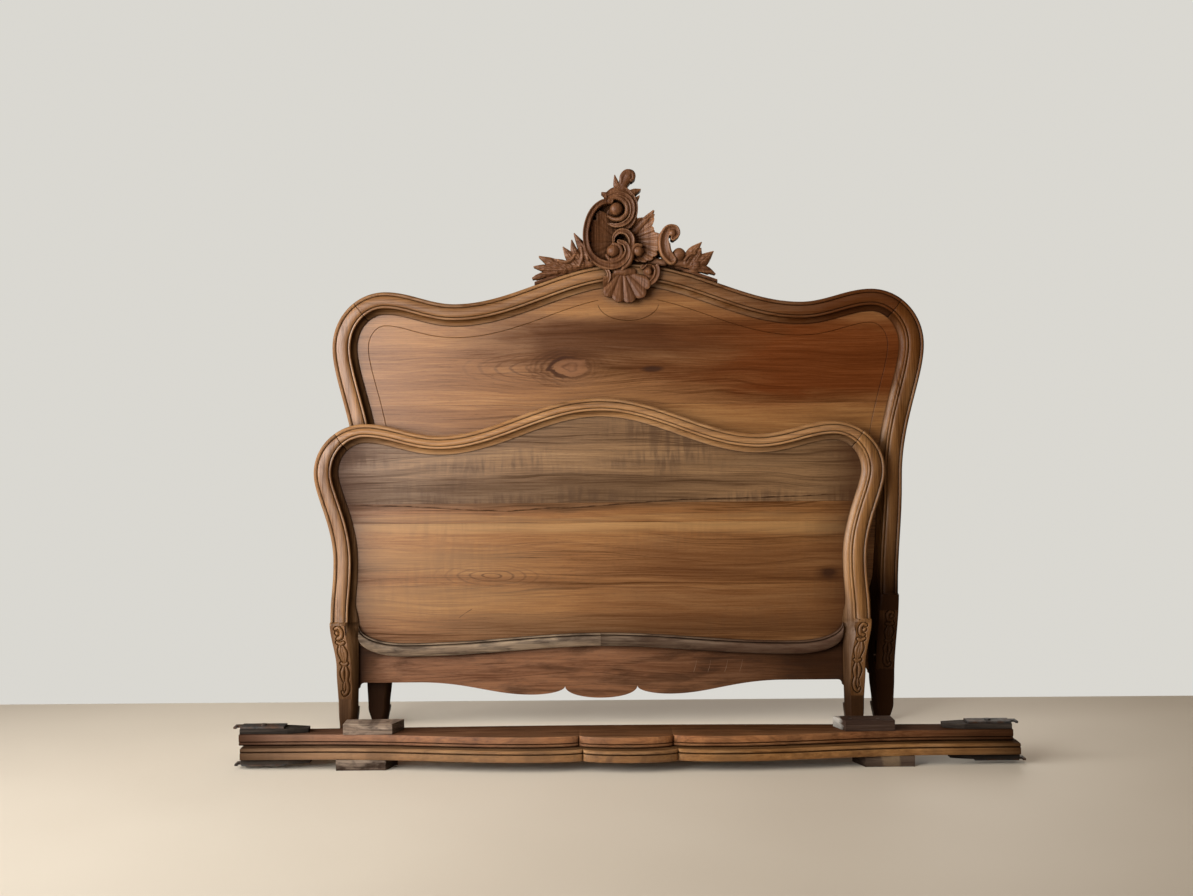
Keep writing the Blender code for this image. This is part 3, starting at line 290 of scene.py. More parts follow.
def inset_edge(board, inset):
    """The frame's inner edge moved inwards, right ledge to left ledge over the crown."""
    right = [point + inward * (width + inset) for point, inward, width in moulded_stations(board)]
    return right + [Vector((-point.x, point.y)) for point in reversed(right[:-1])]


def between(outline, low, high):
    """The part of a closed outline between two heights."""
    for height, sign in ((low, 1), (high, -1)):
        kept = []
        for start, end in zip(outline, outline[1:] + outline[:1]):
            a, b = sign * (start.y - height), sign * (end.y - height)
            if a >= 0:
                kept.append(start)
            if a * b < 0:
                kept.append(start.lerp(end, a / (a - b)))
        outline = kept
    return outline


def groove_shape(path, width, depth, front):
    """A V-shaped groove along a path of (x, z), as points and faces to cut out."""
    rings = []
    for point, normal in zip(path, left_normals(path)):
        left, right = point + normal * (width / 2), point - normal * (width / 2)
        corners = ((left, -MM), (left, 0), (point, depth), (right, 0), (right, -MM))
        rings.append([(place.x, front + deep, place.y, 0, 0) for place, deep in corners])
    return loft(rings)[:2]


# The moulded frame of a board

def moulding_section(width, flare=0.0, cove_light=0.0):
    """(distance, Y, grime and shade, wear) of the frame's section; flare widens its cove, the last argument
    paints light in it.
    """
    section = [(d * MM, -rise * MM, grime, wear) for d, rise, grime, wear in OUTER_EDGE]
    start, end = OUTER_EDGE[-1][0] * MM, width - INNER_EDGE[0][0] * MM
    section += [(start + (end - start) * share, -rise * MM, grime, wear) for share, rise, grime, wear in BAND]
    for d, rise, grime, wear in INNER_EDGE:
        share = cove_light if 2 < d < COVE else 0.0
        spread = flare * max(1 - d / COVE, 0)
        section.append((width - d * MM + spread, -rise * MM, grime * (1 - share), max(wear, 0.7 * share)))
    return section + [(width - RABBET, 0, 1, 0), (width - RABBET, FRAME_BACK, 0.3, 0)]


def ledge_flare(board, height):
    """How far the cove spreads towards the leg's inner face, just above the ledge."""
    reach = board.ledge[0] + board.leg[1] - board.post
    return reach * soft_step(1 - (height - board.ledge[1]) / FLARE_RISE)


def leg_section(board, height):
    """The leg's section, point for point with the moulding's: rounded outer edge, face, facet, side. Towards
    the ledge its inner part runs out into the moulding's cove."""
    low, tall = board.carved
    _, width = leg_at(board, height)
    front, radius = (-CARVED_GROUND, SHARP) if low < height < low + tall else (-LEG_FRONT, LEG_ROUND)
    section = [(0, LEG_BACK, 0.3, 0)]
    for turn in (math.pi / 2 * step / 5 for step in range(6)):
        section.append((radius - radius * math.cos(turn), front + radius - radius * math.sin(turn), 0, 0.6))
    inner = leg_face(board, width)
    facet = min(width - inner, FACET)
    section += [(d, front, 0.15, 0.2) for d in np.linspace(FACE_START, inner - MM, 17)]
    # The facet and the side darken: grime and painted shade.
    section += [(inner, -LEG_FRONT + 0.0004, 0.2, 0.5), ((inner + width) / 2, -LEG_FRONT + facet / 2, 0.8, 0)]
    section += [(width, (-LEG_FRONT + facet) * share, 0.95, 0) for share in (1, 0.75, 0.5, 0.25, 0)]
    if height > board.knee[2]:
        section += [(width - RABBET, 0, 0.8, 0), (width - RABBET, LEG_BACK, 0.3, 0)]
    else:
        section += [(width, LEG_BACK / 2, 0.2, 0), (width, LEG_BACK, 0.3, 0)]
    share = soft_step((height - board.ledge[1] + LEDGE_SLOPE + RUN_OUT) / RUN_OUT)
    target = moulding_section(board.post, ledge_flare(board, board.ledge[1]))
    for step, i in enumerate(COVE_POINTS):
        part = share * min((step + 1) / 3, 1)
        d, y, grime, wear = (a + (b - a) * part for a, b in zip(section[i], target[i]))
        section[i] = (d, y, max(grime, part * min(step / 3, 1)), wear * (1 - part))
    return section


def moulded_ring(station, side, shift=0.0, sink=0.0, flare=0.0, cove_light=0.0):
    """One ring of the moulded frame: shift moves it along the edge, sink lowers its face."""
    point, inward, width = station
    along = Vector((inward.y, -inward.x))
    ring = []
    for d, y, grime, wear in moulding_section(width, flare, cove_light):
        place = point + along * shift + inward * d
        ring.append((side * place.x, y + (sink if y < 0 else 0), place.y, grime + sink / MM, wear))
    return ring


def post(board, side, look):
    """A leg and its moulded stile, with the hook slot."""
    rings = []
    for height in leg_heights(board):
        outer, _ = leg_at(board, height)
        section = leg_section(board, height)
        rings.append([(side * (outer - d), y, height, grime, wear) for d, y, grime, wear in section])
    stile = moulded_stations(board)[: JOINT + 1]
    for i, station in enumerate(stile[:-1]):
        share = i / len(stile)
        # The right stile's cove faces the window: it is lightened here as painted light.
        cove_light = STILE_COVE_LIGHT * soft_step(min(share / 0.12, (1 - share) / 0.30)) if side > 0 else 0.0
        rings.append(moulded_ring(station, side, flare=ledge_flare(board, station[0].y), cove_light=cove_light))
    rings += [moulded_ring(stile[-1], side, -JOINT_SLOPE), moulded_ring(stile[-1], side, 0, JOINT_SINK)]
    obj = new_piece(f"{board.name}_stile_{WORDS[side]}", loft(rings), board,
                    [f"{board.name}_post_{WORDS[side]}"], dict(look, grain="z"))
    near, far = sorted(board.slot_face + board.slot_inwards * reach for reach in (-SLOT_LEAD, SLOT_DEPTH))
    left, right = (side * SLOT_X + half for half in (-SLOT_WIDTH / 2, SLOT_WIDTH / 2))
    cut_out(obj, box_shape((left, near, SLOT_LOW), (right, far, SLOT_HIGH)))
    set_smooth(obj.data)


def top_rail(board, look):
    """The moulded rail from shoulder to shoulder."""
    half = moulded_stations(board)[JOINT:]
    # The rail's cove is lightened towards the crown: less painted shade there, and a paler tone as painted
    # light.
    cove_light = [RAIL_COVE_LIGHT * soft_step(1.6 * i / len(half)) for i in range(len(half))]
    sides = {}
    for side in WORDS:
        ends = [moulded_ring(half[0], side, FIT, JOINT_SINK), moulded_ring(half[0], side, FIT + JOINT_SLOPE)]
        sides[side] = ends + [moulded_ring(half[i], side, cove_light=cove_light[i]) for i in range(1, len(half))]
    new_piece(f"{board.name}_moulded_rail", loft(sides[1] + sides[-1][-2::-1]), board,
              [f"{board.name}_top_rail"], look)


# Procedural materials

class Value:
    """A node's output, to be reckoned with like a number."""

    def __init__(self, graph, socket):
        self.graph, self.socket = graph, socket

    def __add__(self, other):
        return self.graph.math("ADD", self, other)

    def __sub__(self, other):
        return self.graph.math("SUBTRACT", self, other)

    def __rsub__(self, other):
        return self.graph.math("SUBTRACT", other, self)

    def __mul__(self, other):
        return self.graph.math("MULTIPLY", self, other)

    def __truediv__(self, other):
        return self.graph.math("DIVIDE", self, other)


class Graph:
    """A short way to write node trees."""

    def __init__(self, name):
        self.material = bpy.data.materials.new(name)
        self.material.use_nodes = True
        self.tree = self.material.node_tree
        self.place = self.node("ShaderNodeTexCoord", output="Object")

    def put(self, value, socket):
        if isinstance(value, Value):
            self.tree.links.new(value.socket, socket)
        else:
            socket.default_value = value

    def node(self, kind, inputs=None, output=0, **settings):
        """One output of a new node."""
        node = self.tree.nodes.new(kind)
        for key, value in settings.items():
            setattr(node, key, value)
        for key, value in (inputs or {}).items():
            self.put(value, node.inputs[key])
        return Value(self, node.outputs[output])

    def math(self, operation, a, b=0.0, clamp=False):
        if isinstance(b, tuple):
            return self.node("ShaderNodeVectorMath", {0: a, 1: b}, operation=operation)
        return self.node("ShaderNodeMath", {0: a, 1: b}, operation=operation, use_clamp=clamp)

    def noise(self, place, detail=2.0, roughness=0.5, distortion=0.0, scale=1.0):
        """Noise at a place, given as a vector or as three values."""
        if isinstance(place, tuple):
            place = self.node("ShaderNodeCombineXYZ", dict(enumerate(place)))
        return self.node("ShaderNodeTexNoise", {"Vector": place, "Scale": scale, "Detail": detail,
                                                "Roughness": roughness, "Distortion": distortion}, "Fac")

    def ramp(self, value, stops):
        colour = self.node("ShaderNodeValToRGB", {"Fac": value}, "Color")
        elements = colour.socket.node.color_ramp.elements
        while len(elements) < len(stops):
            elements.new(0.5)
        for element, (position, tint) in zip(elements, stops):
            element.position = position
            element.color = (*tint, 1) if isinstance(tint, tuple) else (tint, tint, tint, 1)
        return colour

    def mix(self, factor, a, b, blend="MIX"):
        inputs = {0: factor, 6: a, 7: (*b, 1)}
        return self.node("ShaderNodeMix", inputs, 2, data_type="RGBA", blend_type=blend)

    def soft(self, value, start, end):
        """0 before start, 1 past end (start may be the larger)."""
        return self.math("DIVIDE", value - start, end - start, True)

    def plateau(self, value, low, start, end, high):
        """0 up to low, 1 from start to end, 0 past high."""
        return self.soft(value, low, start) * self.soft(value, high, end)

    def ellipse(self, along, across, x, z, wide, high):
        """Distance from (x, z), 1 at an ellipse of these half sizes."""
        u, v = (along - x) / wide, (across - z) / high
        return self.math("SQRT", u * u + v * v)

    def bump(self, strength, height):
        return self.node("ShaderNodeBump", {"Strength": strength, "Distance": 0.0006, "Height": height})

    def surface(self, inputs):
        """The finished material, with these inputs to its shader."""
        for key, value in inputs.items():
            self.put(value, self.tree.nodes["Principled BSDF"].inputs[key])
        return self.material


def deeper(colour, share):
    return tuple(part * share for part in colour)


def wood(name, dark, middle, light, seed, grain="x", bend=None, shade=None, gloss=0.42, shine=0.28, bump=0.35,
         contrast=1.0, streaks=1.0, grime=0.8, crevice=0.035, wear=0.5, pale=(0.36, 0.20, 0.09)):
    """Walnut: wandering growth bands, fine streaks, pores, darkening in the crevices that is grime and
    painted shade, and wear on the ridges, which the lightened coves carry as painted light. bend moves the
    place across the grain, and shade takes a colour and gives back a new one."""
    g = Graph(name)
    x, deep, z = (Value(g, socket) for socket in
                  g.node("ShaderNodeSeparateXYZ", {0: g.place}).socket.node.outputs)
    along, across = (x, z) if grain == "x" else (z, x)
    field = bend(g, along, across) if bend else across
    spot = g.node("ShaderNodeCombineXYZ", {0: along + seed * 1.37, 1: field + seed * 2.11, 2: deep + seed})
    bent = field + g.noise(spot * (1.5, 5.0, 5.0)) * 0.12
    broad = g.noise((along * 0.9, bent * 11.0, seed + 3))
    ripple = g.noise((along * 2.4, bent * 75.0, seed), 3.0, 0.6, 0.3)
    fine = g.noise(spot * (6.0, 420.0, 160.0), 3.0, 0.6)
    pore = g.ramp(g.noise(spot * (55.0, 1500.0, 900.0), 1.0), ((0.30, 1.0), (0.40, 0.0)))
    blotch = g.noise(spot * (9.0, 14.0, 14.0), 3.0, 0.6)
    value = broad * (0.70 * contrast) + ripple * (0.40 * contrast) + fine * (0.70 * streaks)
    value = value + (0.5 - 0.55 * contrast - 0.35 * streaks)
    colour = g.ramp(value, ((0.24, dark), (0.50, middle), (0.78, light)))
    lines = g.ramp(g.noise((along * 1.6, bent * 150.0, seed + 7), 2.0, 0.55), ((0.57, 0.0), (0.64, 1.0)))
    lines = lines * g.ramp(broad, ((0.35, 0.9), (0.65, 0.25)))
    colour = g.mix(lines * (0.65 * streaks), colour, deeper(dark, 0.55))
    colour = g.mix(pore * 0.35, colour, deeper(dark, 0.35))
    # Paler where worn; in the lightened coves this paling is painted light.
    worn_and_lit = g.node("ShaderNodeAttribute", output="Fac", attribute_name="wear")
    colour = g.mix(worn_and_lit * g.ramp(blotch, ((0.40, 0.0), (0.65, 1.0))) * wear, colour, pale)
    if shade:
        colour = shade(g, along, across, colour)
    dirt_and_shade = g.node("ShaderNodeAttribute", output="Fac", attribute_name="grime")
    # Ambient occlusion darkens crevices and corners as painted shade, on top of the darkening held by the
    # points.
    if crevice:
        hollow = g.node("ShaderNodeAmbientOcclusion", {"Distance": crevice}, "AO", samples=6)
        dirt_and_shade = g.math("MAXIMUM", dirt_and_shade, g.ramp(hollow, ((0.35, 0.85), (0.85, 0.0))))
    dirt_and_shade = dirt_and_shade * g.ramp(blotch, ((0.25, 0.80), (0.60, 1.0)))
    colour = g.mix(dirt_and_shade * grime, colour, deeper(dark, 0.14))
    bright = g.node("ShaderNodeRGBToBW", {"Color": colour})
    polish = g.ramp(bright, ((0.003, 0.06), (0.028, 0.25), (0.070, 1.0)))
    return g.surface({
        "Base Color": colour, "Roughness": fine * 0.18 + (gloss - 0.09) + dirt_and_shade * 0.25,
        "Normal": g.bump(bump, fine * 0.5 - pore * 0.6), "Specular IOR Level": polish * shine,
    })


def aged_iron(name, seed):
    """Dark forged iron with rust blooms."""
    g = Graph(name)
    spot = g.place + (seed, seed * 0.7, seed * 1.3)
    scale = g.noise(spot, 4.0, 0.65, scale=90.0)
    bloom = g.ramp(g.noise(spot, 3.0, 0.6, scale=24.0), ((0.45, 0.0), (0.66, 1.0)))
    colour = g.ramp(scale, ((0.30, (0.018, 0.016, 0.015)), (0.70, (0.075, 0.066, 0.060))))
    return g.surface({
        "Base Color": g.mix(bloom * 0.7, colour, (0.10, 0.042, 0.018)), "Metallic": 0.7,
        "Roughness": g.ramp(scale, ((0.2, 0.75), (0.8, 0.45))), "Normal": g.bump(0.5, scale),
    })


# Shades over the wood: each takes the graph, the places along and across the grain and the colour so far

def darker(start, end, amount, tint=(0.014, 0.005, 0.002)):
    """Darkening along the grain, from none at start to amount at end."""
    def shade(g, along, across, colour):
        blur = g.noise((along * 6.0, across * 6.0, 4.0), 3.0)
        place = along + (blur - 0.5) * ((end - start) * 0.5)
        return g.mix(g.soft(place, start, end) * amount, colour, tint)
    return shade


def patch(start, end, amount, tint, edge=0.003):
    """A patch of another tint between two places along a piece."""
    def shade(g, along, across, colour):
        wave = g.noise((along * 40.0, across * 60.0, 3.0), 3.0, 0.6)
        place = along + (wave - 0.5) * 0.02
        inside = g.plateau(place, start - edge, start + edge, end - edge, end + edge)
        return g.mix(inside * g.ramp(wave, ((0.3, 0.6), (0.6, 1.0))) * amount, colour, tint)
    return shade


def line(points, width, amount, tint=(0.020, 0.008, 0.004)):
    """A thin crack or scratch through points of (along, across)."""
    start, end = points[0][0], points[-1][0]
    low = min(z for _, z in points)
    tall = max(z for _, z in points) - low + MM
    stops = [((x - start) / (end - start), (z - low) / tall) for x, z in points]
    fade = (end - start) * 0.12

    def shade(g, along, across, colour):
        wave = g.noise((along * 25.0, 1.0, 2.0), 3.0)
        height = g.ramp(g.soft(along, start, end), stops) * tall + (wave - 0.5) * (width * 1.6)
        far = g.math("ABSOLUTE", across - low - height)
        inside = g.soft(far, width, width * 0.35) * g.plateau(along, start, start + fade, end - fade, end)
        return g.mix(inside * g.ramp(wave, ((0.35, 0.35), (0.6, 1.0))) * amount, colour, tint)
    return shade


def stain(long, wide, amount, seed, tint=(0.020, 0.010, 0.006)):
    """Soft dark blotches that run with the grain."""
    def shade(g, along, across, colour):
        blotch = g.noise((along / long, across / wide, seed), 4.0, 0.62, 0.4)
        return g.mix(g.ramp(blotch, ((0.46, 0.0), (0.64, 1.0))) * amount, colour, tint)
    return shade


def layers(*shades):
    """Several shades, one over the other."""
    def shade(g, along, across, colour):
        for each in shades:
            colour = each(g, along, across, colour)
        return colour
    return shade


def arch_lines(g, far, wave, rate, fade):
    """Nested growth arches: thin lines at even steps of a distance, faded by it."""
    return g.soft(g.math("SINE", (far + wave * 0.15) * rate), 0.55, 0.95) * g.ramp(far, fade)


EYE = (-0.168, 1.020)  # the eye-shaped knot in the headboard's upper plank


def head_bend(g, along, across):
    """Grain that runs around the eye."""
    near = g.ramp(g.ellipse(along, across, *EYE, 0.24, 0.070) * 0.5,
                  ((0.0, 0.86), (0.25, 0.62), (0.5, 0.28), (0.8, 0.08), (1.0, 0.0)))
    return (across - EYE[1]) * (1.0 - near) + EYE[1]


def head_figure(g, along, across, colour):
    """Dark heart over the eye, the redder right side, arches beside the eye, the eye and a second knot."""
    wave = g.noise((along * 3.0, across * 14.0, 5.0), 3.0, 0.6, 0.5)
    sway = wave - 0.5
    height, place = across + sway * 0.10, along + sway * 0.5
    heart = g.plateau(height, 0.985, 1.075, 1.146, 1.178) * g.plateau(place, -0.55, -0.18, 0.10, 0.42)
    colour = g.mix(heart * 0.84, colour, (0.28, 0.22, 0.24), "MULTIPLY")
    colour = g.mix(heart * 0.25, colour, (0.038, 0.013, 0.006))
    # The right side darkens and reddens: partly the wood's redder tone, partly painted shade away from the
    # window.
    red = g.soft(place, -0.02, 0.40) * g.plateau(height, 0.90, 0.96, 1.12, 1.22)
    colour = g.mix(red * 0.90, colour, (0.56, 0.33, 0.17), "MULTIPLY")
    colour = g.mix(red * 0.30, colour, (0.088, 0.017, 0.002))
    far = g.ellipse(along, across + sway * 0.02, *EYE, 0.38, 0.078)
    rings = arch_lines(g, far, wave, 52.0, ((0.24, 0.0), (0.36, 1.0), (0.98, 0.0)))
    colour = g.mix(rings * g.soft(along, -0.10, -0.24) * 0.65, colour, (0.070, 0.027, 0.010))
    stir = g.noise((along * 17.0, across * 30.0, 8.0), 3.0, 0.6, 0.6) - 0.5
    far = g.ellipse(along + stir * 0.050, across + stir * 0.026, *EYE, 0.060, 0.030)
    colour = g.mix(g.ramp(far, ((0.55, 0.5), (1.0, 0.0))) * 0.8, colour, (0.190, 0.070, 0.024))
    rings = g.ramp(far * 0.5, (
        (0.0, 0.35), (0.08, 0.0), (0.18, 0.6), (0.25, 0.05), (0.40, 0.0), (0.45, 1.0), (0.53, 0.9),
        (0.59, 0.1), (0.68, 0.6), (0.73, 0.1), (0.82, 0.45), (0.88, 0.05), (0.95, 0.3), (1.0, 0.0)))
    rings = rings * (g.soft(along, EYE[0] + 0.05, EYE[0] - 0.04) * 0.6 + 0.4)
    colour = g.mix(rings * 0.9, colour, (0.030, 0.012, 0.007))
    second = g.ellipse(along, across + sway * 0.03, 0.070, 1.018, 0.040, 0.011)
    return g.mix(g.ramp(second, ((0.5, 0.85), (1.0, 0.0))), colour, (0.028, 0.011, 0.006))


def foot_figure(ripple, bands, knot=None, arches=None):
    """Cross ripples and soft wavy bands in the footboard's panel, darkened towards its sides. Bands are (low,
    high, left, right, strength, colour); knot and arches are ellipses of (x, z, half width, half height)."""
    def shade(g, along, across, colour):
        wave = g.noise((along * 2.2, across * 12.0, 2.0), 3.0, 0.6, 0.4)
        height = across + (wave - 0.5) * 0.05
        for low, high, left, right, strength, tint in bands:
            edge = (high - low) * 0.35
            inside = g.plateau(height, low, low + edge, high - edge, high)
            inside = inside * g.plateau(along, left - 0.2, left + 0.1, right - 0.1, right + 0.2)
            colour = g.mix(inside * strength, colour, tint)
        cross = g.ramp(g.noise((along * 60.0, across * 9.0, 1.0), 2.0, 0.5, 0.6), ((0.40, 0.0), (0.62, 1.0)))
        cross = cross * g.ramp(g.noise((along, across * 3.0, 9.0), scale=3.0), ((0.45, 0.0), (0.62, 1.0)))
        colour = g.mix(cross * ripple, colour, (0.060, 0.030, 0.015))
        if knot:
            far = g.ellipse(along, height, *knot)
            colour = g.mix(g.ramp(far, ((0.25, 0.85), (0.6, 0.3), (1.0, 0.0))), colour, (0.018, 0.007, 0.004))
        if arches:
            rings = arch_lines(g, g.ellipse(along, height, *arches), wave, 38.0, ((0.1, 1.0), (0.95, 0.0)))
            colour = g.mix(rings * 0.8, colour, (0.080, 0.031, 0.010))
        rim = g.math("ABSOLUTE", along + 0.065) + (wave - 0.5) * 0.12
        rim = g.math("POWER", g.soft(rim, 0.570, 0.720), 1.6)
        return g.mix(rim * 0.75, colour, (0.034, 0.012, 0.005))
    return shade


def palette(dark, middle, light):
    return dict(dark=dark, middle=middle, light=light)


WALNUT = palette((0.060, 0.020, 0.005), (0.185, 0.072, 0.018), (0.320, 0.150, 0.048))
FRAME = palette((0.048, 0.016, 0.004), (0.140, 0.055, 0.014), (0.250, 0.110, 0.034))
GOLDEN = palette((0.070, 0.025, 0.007), (0.200, 0.086, 0.025), (0.330, 0.160, 0.055))
PALE_GOLDEN = palette((0.080, 0.030, 0.009), (0.235, 0.104, 0.033), (0.375, 0.188, 0.068))
REDDISH = palette((0.078, 0.026, 0.008), (0.245, 0.092, 0.030), (0.360, 0.152, 0.056))
WORN = palette((0.050, 0.028, 0.016), (0.150, 0.093, 0.053), (0.260, 0.172, 0.104))
APRON = palette((0.060, 0.020, 0.008), (0.150, 0.058, 0.022), (0.240, 0.105, 0.045))
OLIVE = palette((0.050, 0.022, 0.009), (0.150, 0.075, 0.030), (0.260, 0.140, 0.060))
CARVED = palette((0.034, 0.011, 0.004), (0.098, 0.036, 0.013), (0.200, 0.082, 0.031))
RAW = palette((0.055, 0.032, 0.020), (0.165, 0.108, 0.072), (0.310, 0.225, 0.160))
DARK_RAW = palette((0.026, 0.014, 0.009), (0.070, 0.041, 0.027), (0.140, 0.090, 0.060))
BLACKENED = palette((0.012, 0.009, 0.007), (0.030, 0.022, 0.017), (0.065, 0.048, 0.036))


# Carving: reliefs drawn as strokes on a fine grid

def softened(grid):
    """A grid of values, each mixed with its four neighbours."""
    pad = np.pad(grid, 1, mode="edge")
    return (pad[:-2, 1:-1] + pad[2:, 1:-1] + pad[1:-1, :-2] + pad[1:-1, 2:] + 4 * grid) / 8


def unit(values):
    return np.clip(values, 0, 1)


def smooth_path(points, per=14):
    """Samples of a smooth path through control points of (x, z, radius, height)."""
    p = np.array(points, float)
    if len(p) == 1:
        p = np.vstack([p, p + (0.01, 0, 0, 0)])
    if len(p) == 2:
        t = np.linspace(0, 1, per * 2)[:, None]
        return p[0] * (1 - t) + p[1] * t
    t = np.linspace(0, 1, per, endpoint=False)[:, None]
    ends = np.vstack([2 * p[0] - p[1], p, 2 * p[-1] - p[-2]])
    spans = [2 * b + (c - a) * t + (2 * a - 5 * b + 4 * c - d) * t ** 2 + (3 * b - a - 3 * c + d) * t ** 3
             for a, b, c, d in zip(ends, ends[1:], ends[2:], ends[3:])]
    return np.vstack([0.5 * span for span in spans] + [p[-1:]])


class Relief:
    """Heights (mm) on a grid, with a field that is positive inside the carved outline."""

    bulge = {"round": 0.75, "ball": 0.85}

    def __init__(self, left, right, low, high, step):
        self.step = step
        self.xs, self.zs = np.arange(left, right + step, step), np.arange(low, high + step, step)
        self.x, self.z = np.meshgrid(self.xs, self.zs)
        self.height = np.full(self.x.shape, -99.0)
        self.field = np.full(self.x.shape, -50.0)

    def add(self, height, field, area=...):
        """Raises an area of the grid to a height, near and inside the field's edge."""
        near = field > -self.step * 1.5
        self.height[area] = np.where(near, np.maximum(self.height[area], height), self.height[area])
        self.field[area] = np.maximum(self.field[area], field)

    def keep(self, field):
        self.field = np.minimum(self.field, field)

    def stroke(self, points, kind="round"):
        """A stroke with a round, banded or leafy profile."""
        samples = smooth_path(points)
        reach = samples[:, 2].max() + 2 * self.step
        low, high = samples.min(axis=0) - reach, samples.max(axis=0) + reach
        rows = np.searchsorted(self.zs, (low[1], high[1]))
        columns = np.searchsorted(self.xs, (low[0], high[0]))
        area = (slice(*rows), slice(*columns))
        grid_x, grid_z = self.x[area], self.z[area]
        nearest = np.full(grid_x.shape, 1e9)
        index = np.zeros(grid_x.shape, int)
        for i, (x, z, _, _) in enumerate(samples):
            square = (grid_x - x) ** 2 + (grid_z - z) ** 2
            closer = square < nearest
            nearest[closer], index[closer] = square[closer], i
        distance, radius, top = np.sqrt(nearest), np.maximum(samples[index, 2], 0.3), samples[index, 3]
        share = distance / radius
        if kind == "band":
            hollow, lip = unit(1 - (share / 0.62) ** 2), unit((share - 0.86) / 0.14)
            height = top - 0.42 * radius * hollow - 0.35 * radius * lip ** 2
        elif kind == "leaf":
            along = index / (len(samples) - 1)
            rib = np.exp(-(share / 0.10) ** 2) * np.minimum(radius * 0.22, 2.2)
            vein = np.cos(along * 26 - share * 3.0) * np.minimum(radius * 0.05, 0.7) * (share > 0.18)
            height = top - 0.55 * radius * unit(share) ** 2 - rib + vein
        else:
            height = top - radius * self.bulge[kind] * (1 - np.sqrt(1 - unit(share) ** 2))
        self.add(height, radius - distance, area)

    def fan(self, x, z, angles, inner, reach, lobes, heights, depth, scallop=0.07, ridge=0.8, crease=1.2):
        """A fluted shell around (x, z): angles in degrees, reach as radii between them, heights at its middle
        and rim; crease is the depth of the line along each lobe."""
        dx, dz = self.x - x, self.z - z
        (start, stop), (low, high) = angles, heights
        r, middle = np.hypot(dx, dz), (start + stop) / 2
        angle = np.degrees(np.angle(np.exp(1j * (np.arctan2(dz, dx) - math.radians(middle))))) + middle
        share = unit((angle - start) / (stop - start))
        flute = np.abs(np.sin(share * lobes * math.pi))
        outer = np.interp(share, np.linspace(0, 1, len(reach)), reach)
        outer = outer * (1 - scallop + scallop * 2 * flute ** 0.7)
        ratio = np.clip(r / outer, 0, 1.2)
        height = low + (high - low) * ratio ** 1.6 + depth * (flute ** ridge - 0.6) * unit(ratio * 1.4)
        height -= crease * np.exp(-((1 - flute) / 0.05) ** 2) * unit(ratio * 2 - 0.6)
        height -= 2.5 * unit((ratio - 0.9) / 0.1) ** 2
        swing = np.radians(np.minimum(angle - start, stop - angle)) * r
        self.add(height, np.minimum.reduce([outer - r, r - inner, swing]))

    def shape(self, back, place):
        """Points, faces, grime with painted shade in the hollows and wear on the ridges, of the carved face,
        straight walls and the back. place maps (x, z, height) to a point."""
        step, field = self.step, self.field
        cells = (field[:-1, :-1] + field[1:, :-1] + field[:-1, 1:] + field[1:, 1:]) / 4 > 0
        around = np.zeros(field.shape, int)
        for rows in (slice(None, -1), slice(1, None)):
            for columns in (slice(None, -1), slice(1, None)):
                around[rows, columns] += cells
        used = around > 0
        total = int(used.sum())
        number = np.full(field.shape, -1)
        number[used] = np.arange(total)
        gz, gx = np.gradient(field, step)
        move = np.clip(field / np.maximum(gx ** 2 + gz ** 2, 0.05), -1.2 * step, 1.2 * step)
        move[~used | (around == 4)] = 0
        px, pz = (self.x - gx * move)[used], (self.z - gz * move)[used]
        front = np.maximum(self.height, back + 1)
        held = used.astype(float)
        for _ in range(2):
            front = np.where(used, softened(front * held) / np.maximum(softened(held), 0.01), front)
        front = np.maximum(front, back + 1)
        smooth = front
        for _ in range(6):
            smooth = softened(smooth)
        # The hollows darken: grime and painted shade.
        hollow = unit((smooth - front) / 2.2 + (1 - unit(field / 2.0)) * 0.25)[used]
        ridge = unit((front - smooth) / 1.2)[used]
        self.face = front[used]
        behind = np.broadcast_to(back, field.shape)[used]
        verts = [place(x, z, h) for heights in (self.face, behind) for x, z, h in zip(px, pz, heights)]
        corners = (number[:-1, :-1], number[:-1, 1:], number[1:, 1:], number[1:, :-1])
        quads = np.stack([corner[cells] for corner in corners], 1)
        pairs = np.stack([quads, np.roll(quads, -1, axis=1)], 2).reshape(-1, 2)
        edges = dict.fromkeys(map(tuple, pairs.tolist()))
        walls = [(q, p, p + total, q + total) for p, q in edges if (q, p) not in edges]
        faces = [*quads, *(quads[:, ::-1] + total), *walls]
        grime, wear = np.append(hollow, np.full(total, 0.2)), np.append(ridge, np.zeros(total))
        return verts, faces, grime, wear


